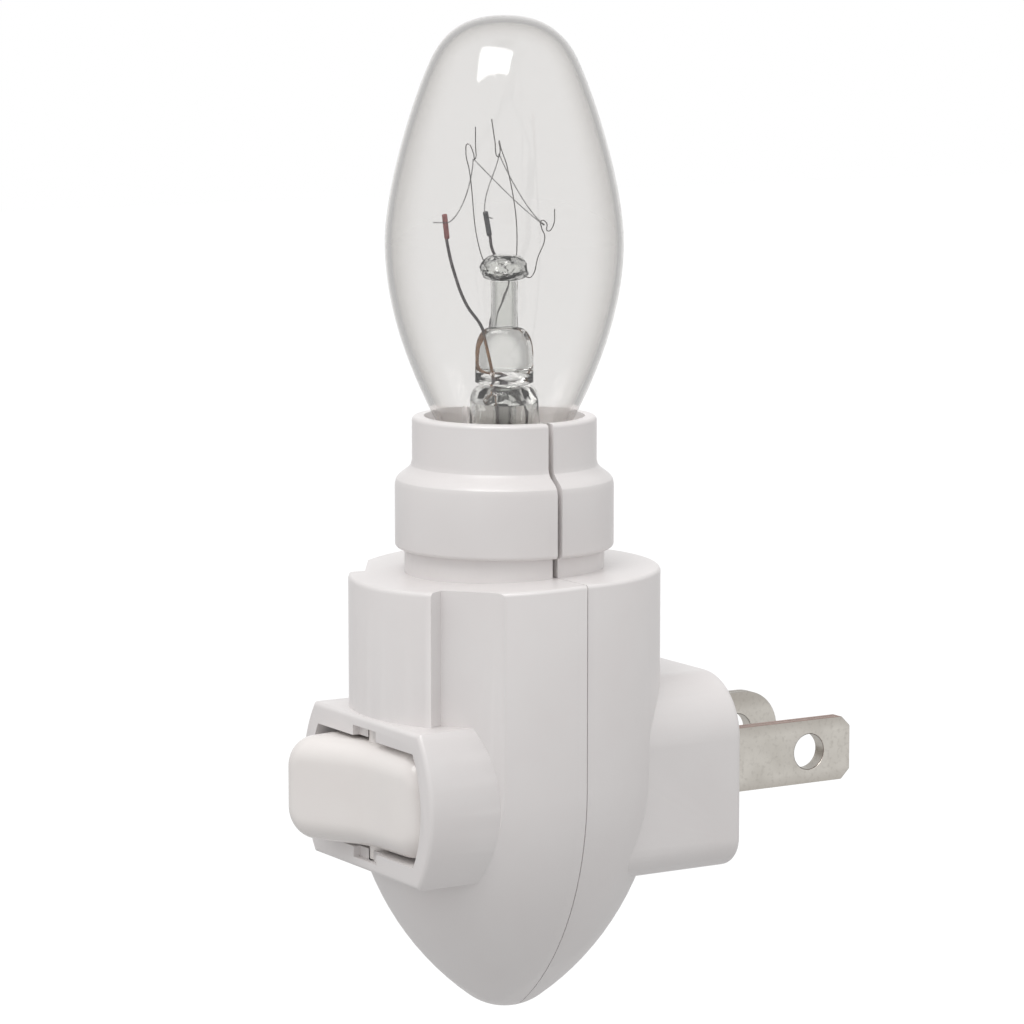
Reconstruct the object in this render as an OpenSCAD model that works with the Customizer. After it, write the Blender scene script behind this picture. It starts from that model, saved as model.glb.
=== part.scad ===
// Plug-in night light: a clear candelabra lamp in a two-piece moulded housing
// with a rocker switch in front and two flat blades behind.
// Origin: on the wall face, midway between the blades.
// +Z is up, +Y points into the wall, +X is to the right of someone facing the light.

/* [Wall plug] */
// Distance from the wall face to the lamp's axis
axis_to_wall = 19.6; // [18.5:0.1:22]
// Height of the body's deck above the blades' centre line
deck_above_blades = 20.2; // [19:0.1:22]
// Distance between the blades' centres
blade_spacing = 12.7; // [11.5:0.1:14]
// Thickness of a blade
blade_t = 1.52; // [1:0.02:2]
// Height of the narrow (line) blade
hot_blade_h = 6.35; // [5.5:0.05:7.5]
// Height of the wide (neutral) blade
neutral_blade_h = 7.94; // [6.5:0.05:9]
// How far the blades stand out of the wall face
blade_len = 16.35; // [14:0.05:18]
// Corner chamfer at the narrow blade's tip
blade_chamfer = 1; // [0.4:0.1:2]
// Radius of the hole in each blade
blade_hole_r = 1.8; // [1.2:0.05:2.2]
// Distance from the wall face to the blade holes
blade_hole_out = 11.4; // [10:0.1:13]
// Half width of the plug block
block_half_w = 12.2; // [11:0.1:13]
// Top of the plug block above the blades' centre line
block_up = 9.3; // [8.5:0.1:10]
// Bottom of the plug block below the blades' centre line
block_down = 9.5; // [8.5:0.1:10.5]
// Radius of the block's top corners
block_top_r = 6; // [3:0.1:7]
// Radius of the block's bottom corners
block_bottom_r = 3; // [1.5:0.1:5]
// Radius of the block's rear edge
block_edge_r = 0.9; // [0.3:0.1:1.4]

/* [Body] */
// Radius of the body
body_r = 15; // [14.4:0.1:17]
// Height of the straight wall below the deck
straight_h = 19.2; // [17:0.1:22]
// Radius of the curve that tapers the body to its tip
taper_r = 28.5; // [27:0.5:34]
// Radius of the rounded tip
tip_r = 6; // [4.5:0.1:7]
// Wall thickness of the body
wall = 2; // [1.4:0.1:2.3]
// Radius of the deck's outer edge
deck_edge_r = 0.4; // [0.2:0.1:1]
// Fall of the front half's deck towards the front, in degrees
deck_fall = 3; // [0:0.5:4]
// Gap between the two housing halves
parting_gap = 0.1; // [0.04:0.02:0.2]
// Half width of the raised nose at the front
nose_half_w = 7.2; // [6:0.1:8]
// Depth of the relief beside the nose
relief_depth = 1.6; // [0.8:0.1:1.9]
// Angle from the front at which the relief runs out, in degrees
relief_angle = 59; // [52:1:64]
// Slope of the nose's side, in degrees
nose_draft = 25; // [10:1:35]

/* [Collar] */
// Height of the collar above the deck
collar_h = 14.5; // [13:0.1:16]
// Radius of the groove at the collar's foot
groove_r = 9.6; // [9:0.1:10]
// Height of the groove
groove_h = 1.9; // [1:0.1:3]
// Radius of the collar's middle band
band_r = 10.5; // [10.2:0.1:11.5]
// Height of the band's top above the deck
band_top = 8; // [6:0.1:9]
// Radius of the collar's rim
rim_r = 8.85; // [8.5:0.05:9.4]
// Height of the sloped shoulder between band and rim
shoulder_h = 2.3; // [1:0.1:3]
// Radius of the bore around the lamp's neck
rim_bore_r = 7.7; // [7.5:0.05:8]
// Rounding of the collar's edges
collar_edge_r = 0.4; // [0.2:0.05:0.6]
// Width of the slit between the collar's halves
slit_w = 0.5; // [0.2:0.05:1]

/* [Switch] */
// Distance of the switch's centre below the deck
switch_drop = 20.8; // [20:0.1:21.5]
// Radius of the round boss around the switch
boss_r = 12.5; // [11.8:0.1:13]
// Half height of the boss between its flats
boss_half_h = 7.4; // [7:0.1:8.4]
// Distance from the lamp's axis to the boss's face
boss_reach = 15.5; // [15.2:0.1:17]
// Rounding of the boss's front edges
boss_edge_r = 0.5; // [0.2:0.05:0.8]
// Radius of the opening's round ends
opening_r = 10.6; // [10.2:0.1:11]
// Half height of the opening
opening_half_h = 5.4; // [5.2:0.05:5.8]
// Width of the notch that lets a trunnion in
notch_w = 4.4; // [3.4:0.1:5]
// Distance from the lamp's axis to the rocker's pivot
pivot_reach = 13.5; // [13:0.1:14]
// Radius of the rocker's trunnions
trunnion_r = 1.3; // [0.9:0.05:1.6]
// Radial running gap of the trunnions
trunnion_gap = 0.08; // [0.04:0.01:0.1]
// Half length of the rocker
rocker_half_l = 9.6; // [8.6:0.1:9.8]
// Half height of the rocker
rocker_half_h = 5.1; // [4.4:0.05:5.1]
// Distance from the pivot to the rocker's face
rocker_face = 4.5; // [3.8:0.1:5]
// Rounding of the rocker's face
rocker_round = 2.3; // [1.6:0.1:2.6]
// Radius of the rocker's four corners, seen from the front
rocker_corner = 3.2; // [2.8:0.1:4]
// Depth of the saddle in the rocker's face
rocker_saddle = 0.9; // [0:0.1:1.4]
// Tilt of the rocker at rest, in degrees
rocker_tilt = 16.5; // [12:0.5:18]
// Tilt of the see-saw contact at rest, in degrees
seesaw_tilt = 9; // [6:0.5:10]
// Half length of the see-saw contact
seesaw_half_l = 6.2; // [5.6:0.1:7]
// Width of the see-saw contact
seesaw_w = 4; // [3:0.1:5]
// Distance from the pivot to the plunger's tip
plunger_reach = 5.6; // [5.2:0.1:6]
// Radius of the plunger
plunger_r = 1; // [0.7:0.05:1.1]
// Thickness of the contact strips
strip_t = 0.5; // [0.3:0.05:0.7]
// Radius of the contact studs
stud_r = 1.1; // [0.8:0.1:1.4]
// Thickness of the contact studs
stud_t = 0.5; // [0.3:0.05:0.7]

/* [Lamp socket] */
// Inner radius of the screw shell
shell_r = 6.03; // [6:0.01:6.1]
// Thickness of the screw shell
shell_t = 0.4; // [0.25:0.05:0.5]
// Height of the screw shell's upper edge above the deck
shell_top = 9; // [8:0.1:10]

/* [Lamp] */
// Radius of the glass bulb
bulb_r = 11.38; // [10.5:0.02:12.5]
// Height of the bulb's tip above the deck
bulb_tip = 52.5; // [50:0.1:55]
// Height of the bulb's widest part above the deck
bulb_belly = 31; // [29:0.1:33]
// Height of the cap's rim above the deck
cap_top = 11.8; // [11:0.1:12.5]
// Radius of the screw cap over its thread
cap_r = 5.95; // [5.7:0.01:6]
// Depth of the cap's tip contact below the deck
cap_tip = 2; // [1.8:0.1:2.4]
// Thickness of the bulb's glass
glass_t = 0.6; // [0.4:0.05:0.8]
// Angle at which the lamp stands when it is screwed home, in degrees
lamp_turn = 58.7; // [0:0.1:360]
// Radius of the lead wires
lead_r = 0.24; // [0.15:0.01:0.35]
// Radius of the support wires
support_r = 0.13; // [0.1:0.01:0.2]
// Radius of the coiled filament
filament_r = 0.12; // [0.08:0.01:0.2]

/* [Hidden] */
$fn = 96;
eps = 0.01;            // overlap that keeps cuts clean
seat = 0.05;           // gap between fixed pieces that seat on each other
play = 0.1;            // gap between pieces that move past each other
far = 60;              // longer than the whole part
blade_x = blade_spacing / 2;
blade_z = -deck_above_blades;
switch_z = -switch_drop;
rear_wall_y = axis_to_wall - wall;

// ---------- Shared shapes ----------

// Pieces are drawn about the lamp's axis with the deck at height 0, and then placed.
module at_axis() translate([0, -axis_to_wall, deck_above_blades]) children();
module at_switch() translate([0, 0, switch_z]) children();
module at_pivot() at_switch() translate([0, -pivot_reach, 0]) children();
module at_lamp() at_axis() rotate([0, 0, lamp_turn]) children();
module both_sides() { children(); mirror([1, 0, 0]) children(); }

function arc(c, r, a0, a1, n, first = 0) =
    [for (i = [first:n]) c + r * [cos(a0 + (a1 - a0) * i / n), sin(a0 + (a1 - a0) * i / n)]];
function bezier(p, n, first = 0) = [for (i = [first:n]) let (t = i / n, s = 1 - t)
    s * s * s * p[0] + 3 * s * s * t * p[1] + 3 * s * t * t * p[2] + t * t * t * p[3]];
function unit(v) = v / norm(v);
function swapped(list) = [for (p = list) [p[1], p[0]]];
function backwards(list) = [for (i = [len(list) - 1:-1:0]) list[i]];

// A box between two opposite corners.
module span(a, b) translate(a) cube(b - a);

// A solid through rings of equally many points.
module loft(rings) {
    n = len(rings[0]);
    last = (len(rings) - 1) * n;
    polyhedron(points = [for (ring = rings) each ring], faces = concat(
        [[for (i = [0:n - 1]) i]],
        [for (j = [0:n:last - n], i = [0:n - 1], k = [0, 1]) let (m = (i + 1) % n)
            k == 0 ? [j + i, j + n + i, j + n + m] : [j + i, j + n + m, j + m]],
        [[for (i = [n - 1:-1:0]) last + i]]));
}

// A round wire along a path. No wire of this lamp runs along wire_up.
wire_up = unit([0.25, 0.95, 0.12]);
function heading(path, i) = unit(path[min(i + 1, len(path) - 1)] - path[max(i - 1, 0)]);
function wire_ring(c, t, r, sides) = let (a = unit(cross(wire_up, t)), b = cross(t, a))
    [for (k = [0:sides - 1]) c + r * (a * cos(360 * k / sides) + b * sin(360 * k / sides))];
module wire(path, r, sides = 6)
    loft([for (i = [0:len(path) - 1]) wire_ring(path[i], heading(path, i), r, sides)]);

// The line at distance d beside a bent line in a plane.
function turned(v) = [-v[1], v[0]];
function beside(path, d) = [for (i = [0:len(path) - 1])
    let (u = turned(unit(path[max(i, 1)] - path[max(i, 1) - 1])),
        j = min(i + 1, len(path) - 1), v = turned(unit(path[j] - path[j - 1])), m = unit(u + v))
    path[i] + m * d / (m * u)];

// Sheet metal bent along a path in the Y-Z plane, w wide along X.
module side_extrude(w) rotate([90, 0, 90]) linear_extrude(w, center = true) children();
module bent_strip(path, t, w) side_extrude(w)
    polygon(concat(beside(path, t / 2), backwards(beside(path, -t / 2))));

// ---------- Housing ----------

// The body's outline: straight wall, taper arc and tip arc meet without a corner.
taper_cx = body_r - taper_r;
tip_z = -straight_h - sqrt(pow(taper_r - tip_r, 2) - pow(taper_cx, 2));
taper_end = acos(-taper_cx / (taper_r - tip_r));
function body_radius(z) = z > -straight_h ? body_r
    : taper_cx + sqrt(pow(taper_r, 2) - pow(z + straight_h, 2));
function body_outline(inset) = concat([[0, -inset], [body_r - inset, -inset]],
    arc([taper_cx, -straight_h], taper_r - inset, 0, -taper_end, 18),
    arc([0, tip_z], tip_r - inset, -taper_end, -90, 10, 1));
module body_solid(inset) rotate_extrude() polygon(body_outline(inset));

// What lies above the deck and outside its rounded edge.
deck_edge = arc([body_r - deck_edge_r, -deck_edge_r], deck_edge_r, 90, 20, 5);
module deck_cutter() rotate_extrude() polygon(concat([[0, 0]], deck_edge,
    [deck_edge[5] + far * [sin(20), -cos(20)], [far, far], [0, far]]));

// A relief on each side leaves a raised nose. Seen from above it is a notch whose
// ledge runs from relief_out to relief_root and whose side climbs back to the nose.
relief_out = body_r * [sin(relief_angle), -cos(relief_angle)];
relief_root = [nose_half_w, -sqrt(pow(body_r - relief_depth, 2) - pow(nose_half_w, 2))];
relief_run = unit(relief_root - relief_out);
relief_in = wall * [relief_run[1], -relief_run[0], 0];
nose_side = relief_root + body_r * [sin(nose_draft), -cos(nose_draft)];
relief_end = switch_z - boss_half_h - 2;   // below where the taper leaves the relief
module relief() translate([0, 0, relief_end]) linear_extrude(far)
    polygon([relief_out - relief_run, relief_root, nose_side, nose_side + [far, 0]]);

// The hollow follows the outside, one wall thickness in.
module front_hollow() difference() {
    body_solid(wall);
    both_sides() translate(relief_in) relief();
}

module collar_solid() rotate_extrude() polygon(concat(
    [[0, -wall], [groove_r, -wall], [groove_r, groove_h]],
    arc([band_r - collar_edge_r, groove_h + collar_edge_r], collar_edge_r, -90, 0, 4),
    bezier([[band_r, band_top], [band_r, band_top + shoulder_h / 2],
        [rim_r, band_top + shoulder_h / 2], [rim_r, band_top + shoulder_h]], 6),
    arc([rim_r - collar_edge_r, collar_h - collar_edge_r], collar_edge_r, 0, 90, 4),
    [[0, collar_h]]));
socket_bore_r = shell_r + shell_t + seat;
flange_z = shell_top - strip_t;
module collar_bore() {
    translate([0, 0, -wall - eps]) cylinder(r = socket_bore_r, h = far);
    translate([0, 0, flange_z - seat]) cylinder(r = rim_bore_r, h = far);
}

// The boss and its opening: a round bar along Y with flats above and below.
module flatted_bar(r, half_h, y0, y1) at_switch() intersection() {
    translate([0, y0, 0]) rotate([-90, 0, 0]) cylinder(r = r, h = y1 - y0);
    span([-far, -far, -half_h], [far, far, half_h]);
}

function boss_side(w) = concat([[0, 0], [0, w]],
    arc([boss_reach - boss_edge_r, w - boss_edge_r], boss_edge_r, 90, 0, 6), [[boss_reach, 0]]);
module boss() at_switch() intersection() {
    rotate([90, 0, 0]) rotate_extrude() polygon(swapped(boss_side(boss_r)));
    for (s = [0, 1]) mirror([0, 0, s]) mirror([0, 1, 0]) side_extrude(2 * boss_r)
        polygon(boss_side(boss_half_h));
}

// What lies on one side of the parting plane: -1 is the front, 1 the rear.
module half(side, gap) intersection() {
    children();
    translate([0, side * (gap + far), 0]) cube(2 * far, center = true);
}

// Posts in both halves, with pins in front that locate in the rear.
post_r = 2;
pin_r = 1.1;
pin_l = 2.4;
upper_post_z = -6;
lower_post_z = tip_z + 4;
module at_posts() for (side = [-1, 1], z = [upper_post_z, lower_post_z])
    translate([side * (body_radius(z) - wall - post_r), 0, z]) rotate([-90, 0, 0]) children();
module posts(side) half(side, parting_gap / 2) intersection() {
    body_solid(wall / 2);
    at_posts() cylinder(r = post_r, h = 2 * body_r, center = true);
}

// The rocker's trunnions slide in through a notch and turn in a hole behind it.
trunnion_end = opening_half_h + 1;
lug_half_w = notch_w / 2 + 0.6;
lug_end = trunnion_end + 0.6;
module pivot_lugs() intersection() {
    body_solid(wall / 2);
    for (s = [0, 1]) at_switch() mirror([0, 0, s]) span([-lug_half_w, -body_r, opening_half_h],
        [lug_half_w, trunnion_r + 1 - pivot_reach, lug_end]);
}
module pivot_cuts() {
    at_pivot() cylinder(r = trunnion_r + trunnion_gap, h = 2 * (trunnion_end + seat), center = true);
    at_switch() span([-notch_w / 2, -far, -trunnion_end],
        [notch_w / 2, -pivot_reach - trunnion_r, trunnion_end]);
}

well_depth = 4.2;      // how far the rocker's well goes on behind the pivot
module front_housing() at_axis() color("white") {
    difference() {
        union() {
            difference() {
                union() {
                    difference() {
                        half(-1, parting_gap / 2) body_solid(0);
                        rotate([deck_fall, 0, 0]) deck_cutter();
                        both_sides() relief();
                    }
                    boss();
                    half(-1, slit_w) collar_solid();
                }
                front_hollow();
            }
            pivot_lugs();
        }
        collar_bore();
        flatted_bar(opening_r, opening_half_h, -far, well_depth - pivot_reach);
        pivot_cuts();
    }
    difference() {
        posts(-1);
        both_sides() translate(relief_in / 2) relief();
    }
    at_posts() translate([0, 0, -parting_gap]) cylinder(r = pin_r, h = pin_l + parting_gap);
}

// The plug block: four round corners and the bars between them, all with the same
// rounded rear edge. With an inset it is the block's hollow.
block_y0 = body_r / 3;
function block_edge(w, inset) = concat([[block_y0 - inset, 0], [block_y0 - inset, w]],
    arc([axis_to_wall - inset - block_edge_r, w - block_edge_r], block_edge_r, 90, 0, 6),
    [[axis_to_wall - inset, 0]]);
module block_corner(x, z, r, inset) translate([x, 0, z]) rotate([-90, 0, 0])
    rotate_extrude() polygon(swapped(block_edge(r, inset)));
module plug_block(inset) translate([0, 0, blade_z]) {
    half_w = block_half_w - inset;
    top_r = max(block_top_r - inset, block_edge_r + eps);
    bottom_r = max(block_bottom_r - inset, block_edge_r + eps);
    top_z = block_up - inset - top_r;
    bottom_z = bottom_r + inset - block_down;
    for (side = [-1, 1]) {
        block_corner(side * (half_w - top_r), top_z, top_r, inset);
        block_corner(side * (half_w - bottom_r), bottom_z, bottom_r, inset);
    }
    translate([0, 0, top_z]) side_extrude(2 * (half_w - top_r))
        polygon(block_edge(top_r, inset));
    translate([0, 0, bottom_z]) side_extrude(2 * (half_w - bottom_r)) mirror([0, 1])
        polygon(block_edge(bottom_r, inset));
    translate([0, 0, bottom_z]) linear_extrude(top_z - bottom_z) for (side = [0, 1])
        mirror([side, 0]) polygon(swapped(block_edge(half_w, inset)));
}

// A blade goes through a slot in the rear wall and stands between two ribs.
rib_t = 1.4;
rib_l = 5;
module blade_slot(x, h) translate([x, 0, blade_z])
    span([-blade_t / 2 - seat, 0, -h / 2 - seat], [blade_t / 2 + seat, far, h / 2 + seat]);
module blade_ribs(x, h) for (side = [-1, 1])
    translate([x + side * (blade_t / 2 + seat + rib_t / 2), 0, blade_z])
        span([-rib_t / 2, rear_wall_y - rib_l, -h / 2], [rib_t / 2, rear_wall_y + eps, h / 2]);

// Where the switch's metalwork stands, from the plunger's tip backwards.
fulcrum_y = plunger_reach - pivot_reach + 0.3 + strip_t + play;
fulcrum_h = 2.6;
bracket_y = fulcrum_y + fulcrum_h;
carrier_y = bracket_y + 2 * (strip_t + seat);
carrier_half_h = 3;
strip_w = 4;           // width of the centre contact's strip
module carrier_ribs() for (side = [-1, 1]) at_switch() translate([side * strip_w / 2, 0, 0])
    span([-rib_t / 2, carrier_y, -carrier_half_h], [rib_t / 2, rear_wall_y + eps, carrier_half_h]);

module rear_housing() at_axis() color("white") {
    difference() {
        union() {
            half(1, parting_gap / 2) difference() {
                body_solid(0);
                deck_cutter();
            }
            half(1, parting_gap / 2) collar_solid();
            plug_block(0);
        }
        body_solid(wall);
        plug_block(wall);
        collar_bore();
        blade_slot(blade_x, hot_blade_h);
        blade_slot(-blade_x, neutral_blade_h);
    }
    difference() {
        posts(1);
        at_posts() cylinder(r = pin_r + seat, h = 2 * (pin_l + 0.5), center = true);
    }
    blade_ribs(blade_x, hot_blade_h);
    blade_ribs(-blade_x, neutral_blade_h);
    carrier_ribs();
}

// ---------- Switch ----------

module at_rocker() at_axis() at_pivot() rotate([0, 0, rocker_tilt]) children();
sleeve_r = plunger_r + 0.8;
sleeve_end = 3.4;
bore_depth = 1.2;
module along_y(y0, y1, r) translate([0, y0, 0]) rotate([-90, 0, 0]) cylinder(r = r, h = y1 - y0);
rocker_back = 1.2;
lobe_x = rocker_half_l - rocker_round;
rocker_plan = concat([[0, rocker_back], [lobe_x + 0.6, rocker_back]],
    arc([lobe_x, rocker_round - rocker_face], rocker_round, 0, -90, 8),
    bezier([[lobe_x, -rocker_face], [lobe_x - 2.5, -rocker_face],
        [2.5, rocker_saddle - rocker_face], [0, rocker_saddle - rocker_face]], 10, 1));
rocker_section = concat([[rocker_back, 0], [rocker_back, rocker_half_h]],
    arc([rocker_round - rocker_face, rocker_half_h - rocker_round], rocker_round, 90, 180, 8),
    [[-rocker_face, 0]]);
rocker_front = [for (k = [0:3])
    each arc([(k % 3 == 0 ? 1 : -1) * (rocker_half_l - rocker_corner),
        (k < 2 ? 1 : -1) * (rocker_half_h - rocker_corner)], rocker_corner, 90 * k, 90 * k + 90, 8)];
module rocker_pad() intersection() {
    rotate([90, 0, 0]) linear_extrude(2 * rocker_face, center = true) polygon(rocker_front);
    both_sides() linear_extrude(2 * rocker_half_h, center = true) polygon(rocker_plan);
    for (s = [0, 1]) mirror([0, 0, s]) side_extrude(2 * rocker_half_l) polygon(rocker_section);
}
module rocker_button() at_rocker() color("snow") difference() {
    union() {
        rocker_pad();
        cylinder(r = trunnion_r, h = 2 * (trunnion_end - play), center = true);
        along_y(0, sleeve_end, sleeve_r);
    }
    along_y(-bore_depth, sleeve_end + 1, plunger_r + seat);
}

plunger_y0 = 1.4;
module switch_plunger() at_rocker() color("goldenrod") {
    along_y(plunger_y0, plunger_reach - plunger_r, plunger_r);
    translate([0, plunger_reach - plunger_r, 0]) sphere(r = plunger_r);
}

spring_wire_r = 0.14;
spring_turns = 4;
spring_steps = 10;     // straight pieces in a turn
module plunger_spring() at_rocker() color("silver") rotate([-90, 0, 0])
    let (y0 = spring_wire_r + seat - bore_depth, rise = plunger_y0 - spring_wire_r - seat - y0,
        n = spring_turns * spring_steps, r = plunger_r - spring_wire_r)
    wire([for (i = [0:n]) let (a = 360 * i / spring_steps)
        [r * cos(a), r * sin(a), y0 + rise * i / n]], spring_wire_r, 5);

// The see-saw rocks on the fulcrum and closes its stud on the fixed one.
stud_x = seesaw_half_l - stud_r;
module at_fulcrum() at_axis() at_switch() translate([0, fulcrum_y, 0]) children();
module at_seesaw() at_fulcrum() rotate([0, 0, -seesaw_tilt]) children();
module seesaw_contact() at_seesaw() color("goldenrod")
    span([-seesaw_half_l, -play - strip_t, -seesaw_w / 2], [seesaw_half_l, -play, seesaw_w / 2]);
module moving_stud() at_seesaw() color("silver") translate([stud_x, 0, 0])
    along_y(-play, stud_t - play, stud_r);

ear_t = 0.5;
module fulcrum_bracket() at_fulcrum() color("goldenrod") {
    span([-carrier_half_h, fulcrum_h, -carrier_half_h],
        [carrier_half_h, fulcrum_h + strip_t, carrier_half_h]);
    linear_extrude(seesaw_w, center = true)
        polygon([[0, 0], [fulcrum_h / 2, fulcrum_h + eps], [-fulcrum_h / 2, fulcrum_h + eps]]);
    for (s = [0, 1]) mirror([0, 0, s]) span([-1, -strip_t - play, seesaw_w / 2 + play],
        [1, fulcrum_h + eps, seesaw_w / 2 + play + ear_t]);
}

// The fixed contact stands clear of the closed see-saw and runs back to the line blade.
fixed_y = (stud_x + stud_r) * sin(seesaw_tilt) + stud_t + play;
module fixed_stud() at_fulcrum() color("silver") translate([stud_x, 0, 0])
    along_y(fixed_y, fixed_y + stud_t, stud_r);
tail_t = 0.8;
tail_half_h = 2;
tail_y0 = 5;
tail_y1 = rear_wall_y - rib_l - 1;
tail_side = tail_t / 2 + seat;
module line_contact() at_axis() color("goldenrod") {
    translate([0, fulcrum_y + fixed_y + stud_t, switch_z]) span([stud_x - stud_r, 0, -tail_half_h],
        [blade_x + tail_side + strip_t, strip_t, tail_half_h]);
    translate([blade_x + tail_side, 0, switch_z]) span([0, fulcrum_y + fixed_y + stud_t,
        -tail_half_h], [strip_t, tail_y1 - seat, tail_half_h]);
}

// ---------- Blades ----------

blade_tip_y = axis_to_wall + blade_len;
lock_h = 1;            // step that keeps a blade from being pulled out
lock_l = 2.4;
module blade_body(h) {
    difference() {
        union() {
            side_extrude(blade_t) children();
            span([-blade_t / 2, rear_wall_y - seat - lock_l, -h / 2 - lock_h],
                [blade_t / 2, rear_wall_y - seat, h / 2 + lock_h]);
            span([-tail_t / 2, tail_y0, -tail_half_h],
                [tail_t / 2, tail_y1 + eps, tail_half_h]);
        }
        translate([0, axis_to_wall + blade_hole_out, 0]) rotate([0, 90, 0])
            cylinder(r = blade_hole_r, h = far, center = true);
    }
}
module hot_blade() at_axis() translate([blade_x, 0, blade_z]) color("silver")
    blade_body(hot_blade_h) let (h = hot_blade_h / 2, c = blade_chamfer)
        polygon([[tail_y1, -h], [blade_tip_y - c, -h], [blade_tip_y, c - h],
            [blade_tip_y, h - c], [blade_tip_y - c, h], [tail_y1, h]]);
module neutral_blade() at_axis() translate([-blade_x, 0, blade_z]) color("silver")
    blade_body(neutral_blade_h) let (h = neutral_blade_h / 2)
        polygon(concat([[tail_y1, h], [tail_y1, -h]],
            arc([blade_tip_y - h, 0], h, -90, 90, 24)));

// ---------- Lamp socket ----------

shell_bottom = -wall - 1;
tab_half_w = 1.5;
tab_y = shell_r - 0.1;
tab_end = shell_bottom - 3;
module socket_shell() at_axis() color("goldenrod") {
    difference() {
        union() {
            translate([0, 0, shell_bottom]) cylinder(r = shell_r + shell_t, h = shell_top - shell_bottom);
            translate([0, 0, flange_z]) cylinder(r = rim_bore_r - seat, h = strip_t);
        }
        cylinder(r = shell_r, h = far, center = true);
    }
    span([-tab_half_w, tab_y, tab_end], [tab_half_w, tab_y + shell_t, shell_bottom + 0.9]);
}

// The strap runs from the shell's tab round to the neutral blade's tail.
strap_y = tab_y + shell_t + seat;
strap_x = -blade_x - tail_side - strip_t;
strap_top = tab_end + 2.5;
strap_back = min(tail_y1 - seat, sqrt(pow(body_r - wall - 0.3, 2) - pow(strap_x, 2)));
module shell_strap() at_axis() color("goldenrod") {
    span([strap_x, strap_y, tab_end], [tab_half_w, strap_y + strip_t, strap_top]);
    span([strap_x, strap_y, blade_z - tail_half_h], [strap_x + strip_t, strap_back, strap_top]);
    span([strap_x, strap_y, blade_z - tail_half_h],
        [strap_x + strip_t, tail_y1 - seat, blade_z + tail_half_h]);
}

// A springy strip carries current from the fulcrum bracket to the lamp's tip.
contact_back = bracket_y + 1.5 * strip_t + seat;
contact_top = -cap_tip - play - strip_t / 2;
module centre_contact() at_axis() color("goldenrod") bent_strip([
    [contact_back, switch_z - carrier_half_h], [contact_back, contact_top - 3],
    [contact_back + 0.7, contact_top - 1.7], [-0.8, contact_top], [1.2, contact_top],
    [2.6, contact_top - 0.8]], strip_t, strip_w);

// ---------- Lamp ----------

// The bulb's outline from its tip down over the knuckle and the belly to the neck.
knuckle = [6.74, bulb_tip - 3.71];
knuckle_run = [sin(28), -cos(28)];
neck_r = cap_r - 0.55;
glass_end = 4;
bulb_outline = concat(
    bezier([[0, bulb_tip], [2.3, bulb_tip], knuckle - 3.6 * knuckle_run, knuckle], 10),
    bezier([knuckle, knuckle + 3.2 * knuckle_run, [bulb_r, bulb_belly + 5.6], [bulb_r, bulb_belly]],
        14, 1),
    bezier([[bulb_r, bulb_belly], [bulb_r, bulb_belly - 7], [8.5, 17.5], [neck_r, cap_top]], 16, 1),
    [[neck_r, glass_end]]);
module bulb_glass() at_lamp() color("white", 0.3) rotate_extrude() polygon(concat(
    bulb_outline, [for (p = backwards(beside(bulb_outline, -glass_t))) [max(p[0], 0), p[1]]]));

// The stem: a flare welded to the neck, pressed flat round the wires, with a rod on top.
press_z = 17.6;
press_top = 23;
press_r = 2.8;
press_half_t = 1.5;
rod_r = 1.33;
bead_z = 27.4;
bead_h = 2.5;
bead_r = 2.2;
tube_r = 1.1;
flare_line = bezier([[neck_r - glass_t - seat, glass_end + 0.4], [4, 9], [3.5, 12],
    [3.3, press_z - 0.4]], 8);
module stem_flare() at_lamp() color("white", 0.4) rotate_extrude()
    polygon(concat(flare_line, backwards([for (p = flare_line) p - [glass_t, 0]])));
module stem_press() at_lamp() color("white", 0.4) difference() {
    intersection() {
        translate([0, 0, press_z]) cylinder(r = press_r, h = press_top - press_z);
        span([-far, -press_half_t, 0], [far, press_half_t, far]);
    }
    leads(lead_r + seat);
}
module stem_rod() at_lamp() color("white", 0.4) translate([0, 0, press_top + seat])
    cylinder(r = rod_r, h = bead_z - press_top - 2 * seat);
module support_bead() at_lamp() color("white", 0.4) difference() {
    translate([0, 0, bead_z]) rotate_extrude() polygon(concat([[0, 0]],
        arc([bead_r - bead_h / 2, bead_h / 2], bead_h / 2, -90, 90, 10), [[0, bead_h]]));
    supports(support_r + seat);
}
module exhaust_tube() at_lamp() color("white", 0.4) translate([0, 0, glass_end - 2]) difference() {
    cylinder(r = tube_r, h = press_z - seat - glass_end + 2);
    translate([0, 0, 1]) cylinder(r = tube_r / 2, h = far);
}

// Wires, as [across the view, away from it, height].
lead_left = [[-1.8, -0.6, 1], [-1.9, -0.5, 12], [-2, 0, 18], [-2, 0, 22.5], [-3.6, -0.6, 25.2],
    [-4.6, -1, 27.8], [-5.4, -1.2, 31.1], [-5.6, -1.2, 33.5]];
lead_right = [[1.8, 0.6, 1], [1.7, 0.5, 12], [1.7, 0.5, 17.8], [-1.3, 1.1, 22.5],
    [-1.2, 1.7, 23.7], [0, 1.9, 25.8], [0.4, 2.6, 27.6], [-1.3, 2.8, 31.4], [-1.7, 2.8, 33.5]];
module leads(r) for (path = [lead_left, lead_right]) wire(path, r);
module lead_wires() at_lamp() color("sienna") leads(lead_r);

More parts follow.
